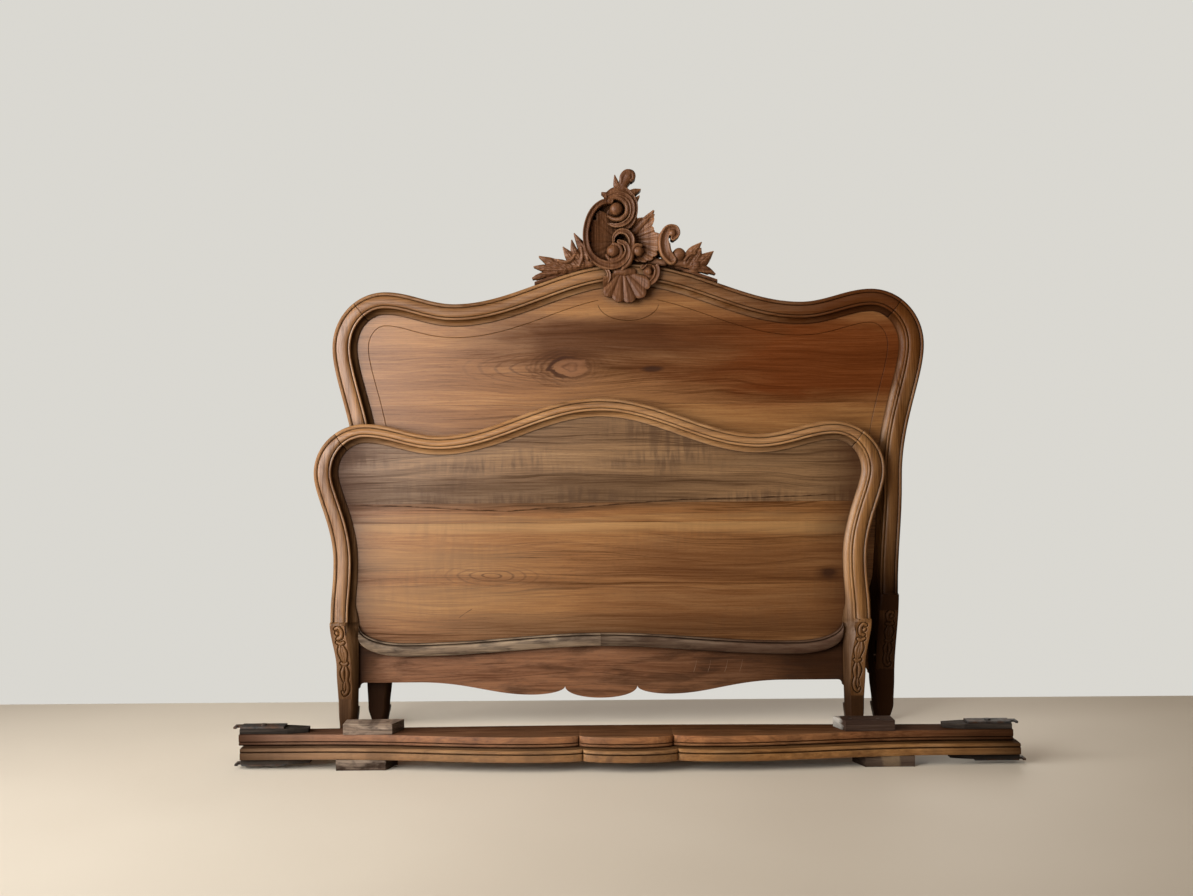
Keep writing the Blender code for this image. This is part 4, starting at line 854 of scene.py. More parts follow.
# The crest's drawing: strokes by kind, through points of (x, y, radius) in pixels and a height (mm)
PIXEL = 2.865  # millimetres of crest for each pixel of the photograph
CREST_X, CREST_Y = 625.4, 265.5  # the crown's middle in the photograph
CARTOUCHE = dict(
    round=(
        ((606, 233, 22, -2), (608, 236, 22, -2)), ((613, 254, 17, 2), (632, 252, 17, 2)),
        ((642, 247, 17, 2), (654, 247, 13, 6)), ((614.6, 212, 12.5, 20), (616, 211, 13, 20)),
        ((602, 216, 9, 4), (606, 210, 8, 8)), ((629, 228, 9, 2), (640, 229, 9, 4)),
        ((652, 268, 6, 8), (676, 273, 6, 8)),
        ((632, 234, 3.6, 12), (643, 223, 3.4, 20), (651.4, 214.2, 1.2, 25)),
        ((604.6, 258.5, 1.5, 35), (607, 262, 1.7, 36), (612.5, 262.8, 1.8, 36), (618, 259.6, 1.8, 36),
         (619.3, 253.6, 1.7, 36), (616.6, 248.6, 1.5, 36), (611, 246.8, 1.2, 35)),
        ((627.5, 250, 1.5, 36), (629.4, 258, 1.7, 38), (627, 266, 1.8, 38), (620, 272.5, 1.6, 37)),
        ((607, 203.6, 1.8, 37), (613.5, 200.8, 1.9, 37), (620.5, 203, 2, 37), (625, 209, 2, 37),
         (624.6, 216.4, 1.9, 37), (619.6, 221.6, 1.8, 36), (612.6, 222, 1.5, 32), (606.6, 218.8, 1, 24)),
        ((605, 198.6, 3, 31), (612, 194.6, 4.4, 33), (620, 194.6, 4.6, 33)),
        ((621, 192, 4.6, 32), (622, 186.6, 4.6, 34), (624.6, 181.6, 5.4, 36)),
        ((619.6, 186, 1.8, 34), (620.4, 179.6, 2.4, 36), (624.8, 175.2, 2.6, 37), (630, 176, 2.6, 37),
         (631.6, 180, 2.3, 36), (629.6, 183, 1.7, 34)),
        ((640, 263, 4, 12), (652, 264, 4, 14), (662, 266, 4, 18)),
        ((630.4, 259.5, 1.2, 35), (630.6, 252.6, 1.6, 37), (634, 248.4, 1.6, 37), (639, 248.6, 1.2, 35)),
        ((596, 266, 3.4, 28), (604, 271, 3, 31)),
    ),
    band=(
        ((609, 204, 2.6, 37), (600, 205.6, 2.7, 37), (592, 212, 2.8, 37), (586.6, 222, 3, 37),
         (583.8, 234, 3, 37), (584.2, 246, 3.1, 37), (587.6, 256, 3.4, 37), (594.5, 263.6, 3.8, 37),
         (604, 268, 4.2, 38), (614, 268, 4.2, 39), (622, 263, 3.8, 39), (625.6, 255, 3.2, 39),
         (623, 247.5, 2.6, 38), (617, 244.5, 1.8, 36)),
        ((606, 200, 2.2, 34), (614, 197, 2.5, 36), (622, 198.2, 2.6, 37), (628.4, 203.6, 2.7, 37),
         (630.6, 212, 2.6, 36), (628.6, 220.5, 2.4, 34), (622.6, 226.2, 2.3, 31), (614.6, 228, 1.9, 26),
         (607, 226, 1, 16)),
        ((615, 191, 2.2, 32), (622.5, 192.6, 2.4, 33), (629, 197.5, 2.5, 34), (633, 205, 2.4, 33),
         (633.8, 214, 2.2, 31), (631.6, 222.5, 2.1, 28), (626.4, 229.4, 1.9, 24), (618.6, 232, 1, 17)),
        ((671, 241.6, 2.4, 35), (674.8, 237.2, 3.2, 36), (672.8, 232.4, 3.8, 37), (666.8, 233, 4.8, 37),
         (663, 239.4, 5.6, 36), (662.2, 248, 6, 36), (664.2, 256.4, 5.8, 35), (669.4, 263, 5, 33)),
        ((611.6, 244.6, 0.9, 20), (612.2, 239, 1.6, 25), (617.2, 234.4, 2.3, 29), (624.4, 235, 3, 31),
         (629, 240.6, 3.2, 33), (629.4, 247.6, 2.8, 35), (627.6, 253.6, 2, 36)),
    ),
    leaf=(
        ((612, 199, 3.4, 33), (606, 197.8, 2.8, 33), (600, 195.6, 0.6, 31)),
        ((626, 199, 3.6, 33), (632, 195, 3.2, 33), (638.6, 192.6, 0.6, 31)),
        ((628, 208, 3.4, 31), (633, 203.6, 2.8, 31), (637.4, 199, 0.6, 29)),
        ((617.5, 191.5, 3, 31), (614.6, 186, 2.8, 32), (613, 178.4, 0.6, 30)),
        ((619, 191, 3.2, 31), (616, 187.6, 2.4, 31), (612.4, 185, 0.6, 29)),
    ),
    ball=(
        ((614.6, 211.8, 6.4, 42),), ((611.2, 253.8, 6.4, 43),), ((636.2, 254.2, 4.8, 40),),
        ((670.4, 236.6, 3.6, 40),), ((626.4, 179.2, 5.4, 38),),
    ),
)
LEFT_SPRAY = dict(
    round=(
        ((590, 264, 5, 24), (572, 268, 4.6, 22), (552, 273, 3.6, 20), (534, 279, 2.4, 17)),
        ((556, 262.8, 0.9, 29), (562, 264.4, 1.1, 30), (569, 262.4, 1.2, 31), (573, 257, 1, 30)),
        ((577, 268, 1.1, 29), (580, 260, 1.3, 31), (579, 250, 1.2, 32)),
        ((585.6, 262, 1.2, 32), (583.4, 252, 1.3, 33), (577, 243, 1, 30)),
    ),
    leaf=(
        ((588, 264, 6, 27), (581, 251, 5.2, 30), (572.2, 236.2, 0.7, 27)),
        ((580, 266, 4.6, 26), (572.4, 254, 3.8, 29), (569.6, 243, 0.8, 27)),
        ((574, 267, 5, 25), (567, 258, 4.4, 28), (561, 249.6, 0.7, 25)),
        ((568, 269, 3.8, 24), (560, 265, 3.2, 26), (553, 261.6, 0.7, 23)),
        ((562, 271, 5.2, 23), (549, 264.6, 4.8, 26), (537, 258.6, 0.7, 22)),
        ((554, 273, 4.2, 21), (542, 270, 3.6, 23), (531.6, 268.6, 0.7, 19)),
        ((548, 275, 3.2, 19), (538, 277.4, 2.6, 20), (528, 281, 0.7, 15)),
    ),
)
RIGHT_SPRAY = dict(
    round=(
        ((676.6, 258, 6.6, 33), (677, 257.6, 6.6, 33)), ((694.6, 267, 3.6, 30), (695, 267, 3.6, 30)),
        ((672, 265, 4, 24), (690, 268, 4, 23), (706, 274, 2.8, 19)),
        ((683, 263, 1.1, 31), (688, 258, 1.2, 33), (693, 257, 1.1, 32)),
    ),
    leaf=(
        ((684, 266, 5, 26), (690.4, 255.4, 5.4, 30), (699.2, 246, 0.7, 27)),
        ((690, 268, 4.4, 25), (696, 259, 3.6, 28), (698.6, 252, 0.8, 26)),
        ((693, 270, 6, 25), (702, 262.6, 6, 28), (711, 255, 0.7, 24)),
        ((697, 271, 3.8, 21), (705, 272.6, 3, 22), (713, 277, 0.7, 16)),
    ),
)
PENDANT = dict(
    round=(
        ((614, 275, 3.2, 32), (622, 274.4, 4, 34), (631, 274.6, 3.2, 32)),
        ((645.6, 272, 5.4, 31), (647, 279, 5, 31)), ((646.2, 274.6, 3.4, 38), (646.6, 275.2, 3.4, 38)),
    ),
    band=(
        ((603.6, 270.6, 1.6, 33), (606.6, 277, 1.9, 35), (605.4, 283.6, 1.8, 34), (600.6, 288.4, 1.2, 31)),
        ((640, 270.6, 1.8, 35), (644.6, 266.2, 2.4, 37), (651, 266.6, 2.8, 39), (654.6, 272, 3, 39),
         (654, 279.4, 3, 39), (649.6, 285.2, 2.6, 38), (643.6, 287.4, 1.8, 35)),
    ),
)


# Heights that the carving stands on (mm): the rail's face, the panel's face, and the backs over the crown
CREST_SEAT, SHELL_SEAT, PANEL_SEAT, CREST_BACK, SPRAY_BACK = 23.6, 23.4, 0.5, -18.0, -16.0
CREST_LOW = 26.5  # what is lower than this over the rail is left off
OUTSIDE, INSIDE = -3.0, 50.0  # values of the field for what is left off and for what stays
SPRAY_BASE, SPRAY_TALL, SPRAY_END = 14.0, 9, 6  # the strip that the leaves grow from


def drawn(points):
    """Control points of the crest's drawing, in millimetres from the crown's middle."""
    return [((x - CREST_X) * PIXEL, (CREST_Y - y) * PIXEL, r * PIXEL, top) for x, y, r, top in points]


def draw(relief, drawing):
    for kind, paths in drawing.items():
        for points in paths:
            relief.stroke(drawn(points), kind)


def crown_edge(x, inset=0.0):
    """Height (mm from the crown) of the top rail's outer or inner edge at x (mm)."""
    points = [point + inward * inset for point, inward, _ in reversed(moulded_stations(HEADBOARD)[JOINT:])]
    heights = [(point.y - HEADBOARD.crown) / MM for point in points]
    return np.interp(np.abs(x), [point.x / MM for point in points], heights)


def crest_piece(name, relief, back, node, **look):
    def place(x, z, height):
        return (x * MM, -height * MM, HEADBOARD.crown + z * MM)

    new_piece(name, relief.shape(back, place), HEADBOARD, [node],
              dict(CARVED, pale=(0.330, 0.155, 0.060), **look), CARVED_CREASE)


def crest():
    """The rocaille crest, its leaf sprays and the shell that hangs over the rail."""
    step, fit = 1.0, 0.4
    centre = Relief(-128, 165, -34, 272, step)
    x, z = drawn([(618, 243, 1, 1)])[0][:2]
    centre.fan(x, z, angles=(70, 276), inner=5, reach=(62, 86, 98, 95, 89, 83, 76, 62), lobes=9,
               heights=(-4, 21), depth=6.0)
    centre.fan(x + 10, z, angles=(-64, 60), inner=5, lobes=11, heights=(-3, 25), depth=5.0, scallop=0.03,
               reach=(62, 76, 90, 98, 102, 104, 104, 104, 90, 94, 116, 84, 70))
    draw(centre, CARTOUCHE)
    over_rail = centre.z < crown_edge(centre.x) + fit
    centre.keep(np.where(over_rail & (centre.height < CREST_LOW), OUTSIDE, INSIDE))
    crest_piece("crest_rocaille", centre, np.where(over_rail, CREST_SEAT, CREST_BACK), "crest_cartouche",
                grain="z", seed=4.0, grime=0.85, wear=0.55, gloss=0.46, crevice=0.03)
    for word, drawing, left, right, seed in (
        ("left", LEFT_SPRAY, -274, -88, 5.0), ("right", RIGHT_SPRAY, 130, 264, 6.0),
    ):
        spray = Relief(left, right, -70, 90, step)
        edge = crown_edge(spray.x)
        ends = [(spray.x - left - SPRAY_END) * 0.25, (right - SPRAY_END - spray.x) * 0.25]
        strip = np.minimum.reduce([edge + SPRAY_TALL - spray.z, *ends])
        spray.add(np.full(spray.x.shape, SPRAY_BASE), strip)
        draw(spray, drawing)
        spray.keep(spray.z - edge - fit)
        crest_piece(f"crest_leaves_{word}", spray, SPRAY_BACK, f"crest_spray_{word}",
                    seed=seed, grime=0.85, wear=0.5, gloss=0.48, crevice=0.03)
    shell = Relief(-70, 110, -116, -8, step)
    x, z = drawn([(620, 272, 1, 1)])[0][:2]
    shell.fan(x, z, angles=(-158, -18), inner=4, reach=(60, 76, 86, 88, 94, 94, 97, 92, 76), lobes=6,
              heights=(25, 38), depth=7.0, scallop=0.05, ridge=0.7, crease=0.8)
    draw(shell, PENDANT)
    over_rail = shell.z > crown_edge(shell.x, HEADBOARD.rail)
    crest_piece("crest_shell", shell, np.where(over_rail, SHELL_SEAT, PANEL_SEAT), "crest_pendant",
                grain="z", seed=7.0, grime=0.8, wear=0.6, gloss=0.45, crevice=0.025)


# The carved drop on a leg, in millimetres: (x, z, radius, height)
LEG_DROP = dict(
    round=(
        ((15, 196, 3.4, 5.8), (24, 199, 4.4, 7), (31, 189, 5, 7.2), (28, 174, 5, 7.2), (18, 168, 4.2, 6.8)),
        ((18, 184, 5, 6.6), (19, 183, 5, 6.6)),
        ((14, 158, 3.6, 6.2), (23, 154, 4.6, 7.2), (32, 158, 3.6, 6.2)),
        ((19, 147, 3, 5.8), (15.5, 130, 5.4, 7), (19, 108, 2.6, 5.8)),
        ((27, 147, 3, 5.8), (30.5, 129, 5.6, 7), (27, 106, 2.6, 5.8)),
        ((15, 100, 3.4, 6), (23, 96, 4.4, 7), (31, 100, 3.4, 6)),
        ((19.5, 89, 3, 5.8), (16, 72, 5, 6.8), (19, 52, 2.6, 5.6)),
        ((26.5, 89, 3, 5.8), (30, 72, 5, 7), (27, 52, 3.8, 6.4)),
        ((27, 52, 3.8, 6.4), (30, 36, 4.4, 6.8), (27, 20, 4.6, 6.8), (19, 13, 4, 6.4), (14, 20, 2.8, 5.8)),
    ),
    leaf=(
        ((23, 142, 2.2, 5.6), (23, 122, 4, 7), (23, 103, 1.6, 5.4)),
        ((21, 46, 2, 5.4), (20, 34, 3.4, 6), (19, 25, 1.6, 5.2)),
    ),
)
DROP_TALL = 0.205  # height of the leg that the drop is drawn for
DROP_BACK, DROP_STEP = -1.0, 0.7  # its back, let into the leg, and its grid's step (mm)
SUNK = 3.6  # reach of the sunk ground around the carving (mm)
MARGIN, GROUND = 5.5, 0.8  # heights of the plain margin and the sunk ground (mm)
ROUNDING = 3  # of the margin's outer edge (mm)
GROUND_SHADE_FROM, GROUND_SHADE_FULL = 3.6, 1.2  # heights between which the sunk ground darkens, as grime and painted shade (mm)


def leg_carving(board, side, seed):
    """The carved drop on a leg: a scroll and husks, with the ground sunk beside them."""
    low, tall = board.carved
    wide, high = board.face / MM, tall / MM
    near, relief = (Relief(0, wide, 0, high, DROP_STEP) for _ in range(2))
    drawing = [(kind, [(x + board.drop_shift, z * tall / DROP_TALL, r, top) for x, z, r, top in points])
               for kind, paths in LEG_DROP.items() for points in paths]
    for _, points in drawing:
        near.stroke([(x, z, r + SUNK, top) for x, z, r, top in points])
    turn = ROUNDING - np.sqrt(ROUNDING ** 2 - (ROUNDING - np.clip(relief.x, 0, ROUNDING)) ** 2)
    margins = [relief.x, wide - relief.x, relief.z, high - relief.z]
    relief.add(MARGIN - (MARGIN - GROUND) * ease(unit(near.field / (SUNK * 0.7))) - turn,
               np.minimum.reduce(margins) - 0.1)
    for kind, points in drawing:
        relief.stroke(points, kind)

    def place(x, z, height):
        level = low + z * MM
        outer, width = leg_at(board, level)
        inwards = x * MM * leg_face(board, width) / board.face
        return (side * (outer - inwards), -CARVED_GROUND - height * MM, level)

    verts, faces, grime, wear = relief.shape(DROP_BACK, place)
    # The sunk ground beside the strokes darkens: grime and painted shade.
    ground = unit((GROUND_SHADE_FROM - relief.face) / (GROUND_SHADE_FROM - GROUND_SHADE_FULL))
    grime = np.maximum(grime, np.append(ground, np.zeros(len(ground))))
    # The drop darkens towards the foot: partly dirt, partly painted shade.
    look = dict(FRAME, grain="z", seed=seed, grime=0.78, wear=0.6, gloss=0.45, crevice=0.012,
                shade=darker(*board.drop_dark))
    new_piece(f"{board.name}_leg_drop_{WORDS[side]}", (verts, faces, grime, wear), board,
              None, look, CARVED_CREASE)


# The boards and rails

PLANK = dict(WALNUT, bump=0.1, contrast=0.9, crevice=0.03)
SCRIBED = dict(width=0.0026, depth=0.0016, front=FIT)  # the line around the headboard's panel
SCRIBED_INSET, SCRIBED_LOW = 0.032, 0.5
DIP_GAP = 0.085  # half the gap in it under the crest, which the dip spans
DIP_X, DIP_TOP, DIP_WIDE, DIP_DEEP, DIP_TURN = 0.002, 1.208, 0.088, 0.052, 0.15
HEAD_PLANKS = ((3, 0.660, 0.915), (4, 0.915, HEADBOARD.crown))  # number, lower and upper edge


def scribed_line():
    """Both sides of the line and its dip."""
    edge = [point for point in inset_edge(HEADBOARD, SCRIBED_INSET) if point.y > SCRIBED_LOW]
    left, right = ([point for point in edge if side * point.x > DIP_GAP] for side in (-1, 1))
    turns = np.linspace(DIP_TURN, math.pi - DIP_TURN, 24)
    dip = [Vector((DIP_X + DIP_WIDE * math.cos(turn), DIP_TOP - DIP_DEEP * math.sin(turn)))
           for turn in turns]
    return left, right, dip


def headboard():
    # The left post's coves and facets darken more than the right's: painted shade on the side turned from the
    # window. The right post's upper stile and the rail's right half darken and redden: partly the wood's
    # tone, partly painted shade away from the window. Both legs darken towards the foot: partly dirt, partly
    # painted shade.
    post(HEADBOARD, 1, dict(FRAME, seed=1.0, grime=0.70, shine=0.22, gloss=0.36, shade=layers(
        darker(0.86, 1.16, 0.75, (0.066, 0.016, 0.0015)), darker(0.66, 0.38, 0.98))))
    post(HEADBOARD, -1, dict(FRAME, seed=1.6, grime=0.98, shine=0.40, gloss=0.38,
                             shade=darker(0.62, 0.34, 0.96)))
    top_rail(HEADBOARD, dict(FRAME, seed=2.2, grime=0.92, shine=0.40,
                             shade=darker(0.10, 0.58, 0.86, (0.052, 0.011, 0.0012))))
    outline = inset_edge(HEADBOARD, -RABBET + FIT)
    for number, low, high in HEAD_PLANKS:
        piece = [tuple(point) for point in between(outline, low + FIT, high)]
        look = dict(PLANK, seed=2.9 + number, shade=head_figure, bend=head_bend, gloss=0.36, grime=0.7,
                    shine=0.45, streaks=0.72)
        obj = new_piece(f"headboard_panel_{number}", plate(piece, FIT, PANEL_THICKNESS), HEADBOARD,
                        [f"headboard_plank_{number}"], look)
        for path in scribed_line():
            cut_out(obj, groove_shape(path, **SCRIBED))
        # The groove's floor is set fully dark: the scribed line's own dark, and painted shade in the groove.
        grime = obj.data.attributes["grime"].data
        for vertex in obj.data.vertices:
            if FIT < vertex.co.y - SCRIBED["depth"] / 2 < FIT + MM:
                grime[vertex.index].value = 1.0
    crest()
    leg_carving(HEADBOARD, 1, 8.0)
    leg_carving(HEADBOARD, -1, 8.6)


def scalloped(centre, cusp_x, cusp, lobe_x, lobe, flat_x, steps):
    """Right half of a scalloped lower edge, as (x, z), from the depths at its centre, cusp and lobe."""
    middle, notch, side, flat = (0, -centre), (cusp_x, -cusp), (lobe_x, -lobe), (flat_x, 0)
    points = bend(middle, notch, (0.55, 0), (0, 0.6), steps)
    points += bend(notch, side, (0, 0.6), (0.5, 0), steps)[1:]
    points += bend(side, flat, (0.35, 0), (0.45, 0), steps * 2)[1:]
    return [tuple(point) for point in points]


def apron():
    low, bracket, inner, top = 0.128, 0.016, HALF - FOOTBOARD.leg[1], 0.2325
    edge = scalloped(centre=0.047, cusp_x=0.1025, cusp=0.0135, lobe_x=0.195, lobe=0.037,
                     flat_x=0.520, steps=16)
    half = [(x, low + z) for x, z in edge]
    corner = bend((inner - bracket, low), (inner, low - bracket), (ROUND_ARC, 0), (0, ROUND_ARC), 10)
    end = inner + RABBET - FIT
    half += [tuple(point) for point in corner] + [(end, low - bracket)]
    outline = [(-x, z) for x, z in reversed(half) if x > 0] + half + [(end, top), (-end, top)]
    scratches = [line(((x, 0.150), (x + 0.006, 0.168), (x + 0.010, 0.188)), 0.0013, 0.7, (0.30, 0.19, 0.12))
                 for x in (0.262, 0.302, 0.350, 0.392)]
    # Darker to the right and at the left end by the leg: partly dirt, partly painted shade. The long crevice
    # reach also darkens the apron under the strip, as a painted shadow.
    shade = layers(darker(0.0, 0.62, 0.88), darker(-0.58, -0.68, 0.94), stain(0.16, 0.03, 0.55, 2.0),
                   *scratches)
    obj = new_piece("footboard_shaped_apron", plate(outline, FIT, LEG_BACK - FIT), FOOTBOARD,
                    ["footboard_apron"], dict(APRON, seed=11.0, grime=0.8, crevice=0.06, shade=shade))
    bevelled(obj, 0.0018, 3)


# Section of the footboard's lower moulding: (share of its height from the top, relief in mm, darkening, wear)
STRIP_TALL = 0.037
STRIP_SECTION = (
    (0, 0.3, 0.9, 0), (0, 8.5, 0.5, 0.1), (0.02, 12, 0.1, 0.6), (0.06, 14, 0, 1), (0.11, 13.8, 0.1, 0.6),
    (0.15, 11.8, 1, 0), (0.18, 11.8, 1, 0), (0.21, 16, 0.4, 0.2), (0.25, 18.2, 0, 0.6), (0.34, 19.4, 0, 0.6),
    (0.48, 19.8, 0.1, 0.4), (0.64, 19.4, 0.2, 0.3), (0.80, 18.4, 0.2, 0.3), (0.91, 17.2, 0.1, 0.6),
    (0.965, 15, 0, 1), (0.99, 11, 0.3, 0.5), (1, 0.3, 0.9, 0),
)


def lower_moulding():
    """The pale worn strip over the panel's foot, in two lengths that meet in the middle."""
    end, dip, middle = (HALF - FOOTBOARD.leg[1] - FIT, 0.290), (HALF - 0.150, 0.239), (0, 0.265)
    half = bend(middle, dip, (0.35, 0), (0.4, 0), 28) + bend(dip, end, (0.75, 0), (0, 0.35), 24)[1:]
    # Darker to the right, and the left length paler with more wear: partly stains and wear, partly painted
    # shade and painted light across from the window.
    shade = layers(stain(0.10, 0.02, 0.75, 5.0, (0.034, 0.020, 0.013)),
                   darker(-0.05, 0.45, 0.80, (0.050, 0.020, 0.010)))
    for side, wear in ((1, 0.35), (-1, 0.75)):
        rings = [[(side * max(point.x, 0.0004), -rise * MM, point.y - STRIP_TALL * share, grime, worn_and_lit)
                  for share, rise, grime, worn_and_lit in STRIP_SECTION] for point in half]
        new_piece(f"footboard_strip_{WORDS[side]}", loft(rings), FOOTBOARD,
                  ["footboard_lower_moulding"],
                  dict(WORN, seed=12.0 + side, gloss=0.66, grime=0.85, wear=wear, contrast=1.6, crevice=0.02,
                       pale=(0.32, 0.225, 0.14), shade=shade))


def footboard():
    # The left post's coves and facets darken more than the right's: painted shade on the side turned from the
    # window. Both legs darken towards the foot, the right more: partly dirt, partly painted shade.
    post(FOOTBOARD, 1, dict(GOLDEN, seed=9.0, grime=0.65, gloss=0.36, shade=darker(0.38, 0.08, 0.93)))
    post(FOOTBOARD, -1, dict(GOLDEN, seed=9.7, grime=0.97, shine=0.40, shade=darker(0.30, 0.02, 0.88)))
    top_rail(FOOTBOARD, dict(PALE_GOLDEN, seed=10.3, grime=0.88, shine=0.42))
    apron()
    lower_moulding()
    leg_carving(FOOTBOARD, 1, 13.0)
    leg_carving(FOOTBOARD, -1, 13.8)


def side_rail(rail, look, *shades):
    """A shaped side rail with its moulded lower edge."""
    lower = scalloped(centre=0.060, cusp_x=0.117, cusp=0.030, lobe_x=0.235, lobe=0.050,
                      flat_x=RAIL_FLAT, steps=20)
    lower += [(RAIL_FLAT + (RAIL_HALF - RAIL_FLAT) * step / 6, 0) for step in range(1, 7)]
    arch = bend((RAIL_HALF, 0), (0, RAIL_ARCH), (0.4, 0), (0.4, 0), 40)[::-1]
    rings = []
    for x, z in [(-x, z) for x, z in reversed(lower[1:])] + lower:
        top = float(np.interp(abs(x), [point.x for point in arch], [point.y for point in arch]))
        low, turn = z - RAIL_END_HEIGHT, top - RAIL_ROUND
        ring = [(x, RAIL_ROUND, top, 0.4, 0.3), (x, 0.0, turn, 0.7, 0.1)]
        ring += [(x, y * MM, low + rise * MM, grime, wear) for y, rise, grime, wear in RAIL_EDGE]
        ring += [(x, RAIL_THICKNESS, turn, 0.9, 0.1), (x, RAIL_THICKNESS - RAIL_ROUND, top, 0.6, 0.2)]
        rings.append(ring)
    soot = (stain(0.14, 0.02, 0.36, 3.0), darker(0.78, 1.00, 0.94), darker(-0.78, -1.00, 0.94))
    new_piece(f"{rail.name}_moulded_board", loft(rings), rail, [f"{rail.name}_board"],
              dict(look, grime=0.92, wear=0.45, gloss=0.55, crevice=0.03, shine=0.16,
                   shade=layers(*shades, *soot)))


# Solids that stay in view as they are

def plank_looks():
    """The planks' looks by name."""
    dim, red, pale = (0.050, 0.024, 0.010), (0.070, 0.022, 0.006), (0.310, 0.165, 0.060)
    crack = line(((-0.800, 0.632), (-0.600, 0.626), (-0.430, 0.615), (-0.320, 0.611), (-0.230, 0.618),
                  (-0.120, 0.624)), 0.0027, 0.95)
    check = line(((-0.260, 0.611), (-0.080, 0.624), (0.150, 0.640), (0.400, 0.645), (0.660, 0.654)),
                 0.0029, 0.95)
    nick = line(((-0.469, 0.309), (-0.452, 0.322), (-0.428, 0.336)), 0.0018, 0.9)
    # On the lower planks the red bands to the right and the pale ones to the left are partly the wood's
    # figure, partly painted shade and painted light across from the window.
    figures = (
        foot_figure(0.10, ((0.24, 0.33, -0.5, 0.6, 0.45, dim), (0.22, 0.46, 0.0, 0.9, 0.55, red),
                           (0.30, 0.42, -0.8, -0.3, 0.3, pale))),
        foot_figure(0.15, ((0.36, 0.56, 0.05, 0.9, 0.55, red), (0.42, 0.52, -0.8, -0.35, 0.3, pale),
                           (0.540, 0.590, -0.8, 0.9, 0.50, pale)),
                    (0.585, 0.428, 0.050, 0.022), (-0.373, 0.430, 0.210, 0.056)),
        foot_figure(0.10, ((0.574, 0.602, -0.8, 0.8, 0.25, pale), (0.612, 0.650, -0.8, 0.2, 0.55, dim))),
        foot_figure(0.60, ((0.60, 0.72, -0.8, 0.15, 0.50, dim), (0.72, 0.78, 0.0, 0.5, 0.25, dim))),
    )
    plank = dict(PLANK, gloss=0.37, grime=0.75, shine=0.38, streaks=0.95)
    return {
        "footboard_plank_1": dict(plank, seed=21.0, shade=layers(figures[0], nick)),
        "footboard_plank_2": dict(plank, seed=22.4, shade=figures[1]),
        "footboard_plank_3": dict(plank, seed=23.1, shade=layers(figures[2], crack, check)),
        "footboard_plank_4": dict(plank, seed=24.6, shade=layers(figures[3], crack, check), **OLIVE),
        "headboard_plank_1": dict(plank, seed=25.2),
        "headboard_plank_2": dict(plank, seed=26.8),
    }


def cad_materials():
    """Materials and softened edges for the solids."""
    planks = plank_looks()
    # The patched cleats take the darker palette. On the upper rail's left cleat that and the darkening along
    # it are painted shade on its front, and its patch at the left end is a painted highlight where the window
    # falls.
    patches = {
        "upper_rail_cleat_left": layers(darker(0.30, 0.50, 0.6, (0.024, 0.011, 0.007)),
                                        patch(0.50, 0.5365, 0.9, (0.42, 0.37, 0.31))),
        "lower_rail_cleat_right": patch(0.630, 0.673, 0.8, (0.22, 0.14, 0.075)),
    }
    for name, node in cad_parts.items():
        seed, edge = sum(map(ord, name)) * 0.01, 0.0
        look = dict(FRAME, seed=28.0)
        if name in planks:
            look = planks[name]
            grow = node.modifiers.new("glue line", "DISPLACE")
            grow.mid_level = 0.0
            grow.strength = FIT
        elif "cleat_screw" in name or "bolt" in name or "hook" in name:
            look = None
            edge = 0.0009 if "hook" in name and "pin" not in name else 0.0
        elif "end_block" in name:
            look, edge = dict(BLACKENED, seed=seed, gloss=0.7, bump=0.9), 0.0020
        elif "cleat" in name:
            look = dict(DARK_RAW if name in patches else RAW, seed=seed, gloss=0.65, bump=0.8, contrast=1.5,
                        crevice=0.05, grime=0.9, shade=patches.get(name, stain(0.05, 0.02, 0.8, 6.0)))
            edge = 0.0016
        elif "tenon" in name or "dowel" in name:
            look = dict(RAW, seed=seed, gloss=0.6, crevice=0.0)
        elif name == "headboard_bottom_rail":
            look, edge = dict(FRAME, seed=27.0), 0.0015
        if edge:
            bevelled(node, edge)
        node.data.materials.clear()
        node.data.materials.append(wood(name, **look) if look else aged_iron(name, seed))


# The stage

def lay_floor():
    """A pale floor that ends a little behind the headboard."""
    verts, faces = box_shape((-6, -7, -0.05), (6, 0.62, 0))
    floor = new_object("floor", new_mesh("floor", verts, faces))
    g = Graph("floor")
    tone = g.noise(g.place, scale=1.2)
    colour = g.ramp(tone, ((0.3, (0.56, 0.475, 0.375)), (0.7, (0.60, 0.515, 0.41))))
    floor.data.materials.append(g.surface({"Base Color": colour, "Roughness": 0.55}))


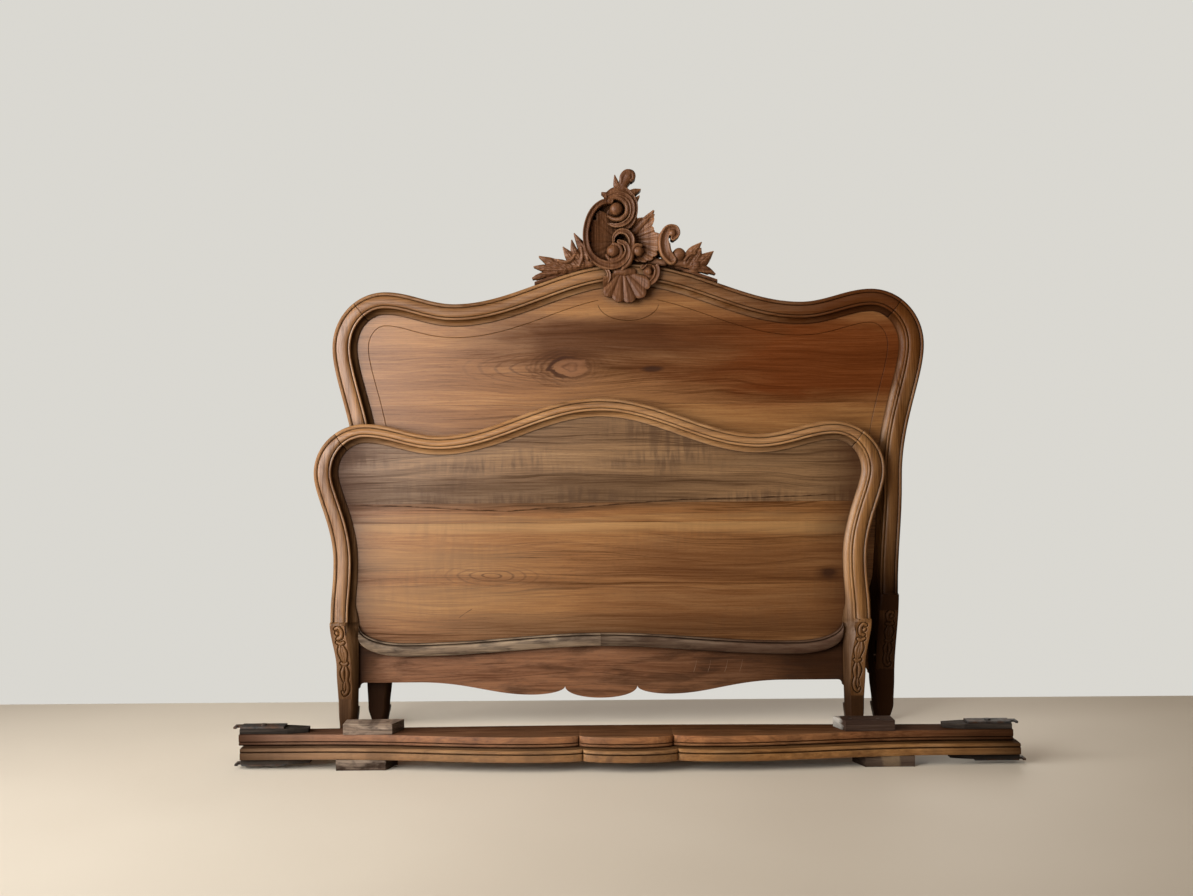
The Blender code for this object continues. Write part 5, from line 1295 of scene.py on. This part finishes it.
def set_lights():
    """A dim room whose walls look pale, with soft windows on the left."""
    scene = bpy.context.scene
    scene.world = scene.world or bpy.data.worlds.new("studio")
    scene.world.use_nodes = True
    tree = scene.world.node_tree
    wall = tree.nodes.new("ShaderNodeMixRGB")
    wall.inputs[1].default_value = (0.078, 0.063, 0.047, 1)
    wall.inputs[2].default_value = (0.700, 0.685, 0.640, 1)
    tree.links.new(tree.nodes.new("ShaderNodeLightPath").outputs["Is Camera Ray"], wall.inputs[0])
    tree.links.new(wall.outputs[0], tree.nodes["Background"].inputs["Color"])
    for name, place, target, size, power, spread, colour in (
        ("window", (-3.0, -1.0, 1.5), (0.4, 0.3, 1.15), (1.7, 1.9), 71, 130, (0.94, 0.97, 1.0)),
        ("second window", (-1.9, -2.4, 1.35), (0.3, 0.4, 0.75), (1.7, 1.9), 46, 100, (0.92, 0.97, 1.0)),
        ("ceiling", (0.6, -2.6, 4.0), (0.2, 0.2, 0.5), (3.6, 3.0), 48, 180, (1.0, 0.88, 0.74)),
        ("room behind", (0.7, 3.4, 2.1), (0.1, 0.3, 0.5), (3.2, 2.4), 50, 180, (1.0, 0.93, 0.84)),
    ):
        area = bpy.data.lights.new(name, "AREA")
        area.shape = "RECTANGLE"
        area.size, area.size_y = size
        area.energy, area.spread, area.color = power, math.radians(spread), colour
        lamp = new_object(name, area)
        lamp.location = place
        lamp.rotation_euler = (Vector(target) - Vector(place)).to_track_quat("-Z", "Y").to_euler()


def set_camera():
    """The photograph's view, solved from the boards' planes."""
    lens = bpy.data.cameras.new("camera")
    lens.sensor_width = 36.0
    lens.lens = 42.05
    lens.shift_y = -0.0137
    view = new_object("camera", lens)
    view.location = (-0.073, -3.72, 0.836)
    view.rotation_euler = (math.pi / 2, math.radians(0.43), 0)
    bpy.context.scene.camera = view
    bpy.context.scene.view_settings.view_transform = "Standard"


headboard()
footboard()
# Each rail greys towards its left end: partly the wood's tone, partly painted sheen from the window side.
side_rail(LOWER_RAIL, dict(GOLDEN, seed=15.0), darker(0.3, -0.9, 0.6, (0.165, 0.098, 0.060)))
side_rail(UPPER_RAIL, dict(REDDISH, seed=16.0), darker(-0.2, 0.9, 0.6, (0.150, 0.082, 0.058)),
          darker(-0.42, -0.82, 0.70, (0.040, 0.014, 0.006)))
cad_materials()
lay_floor()
set_lights()
set_camera()
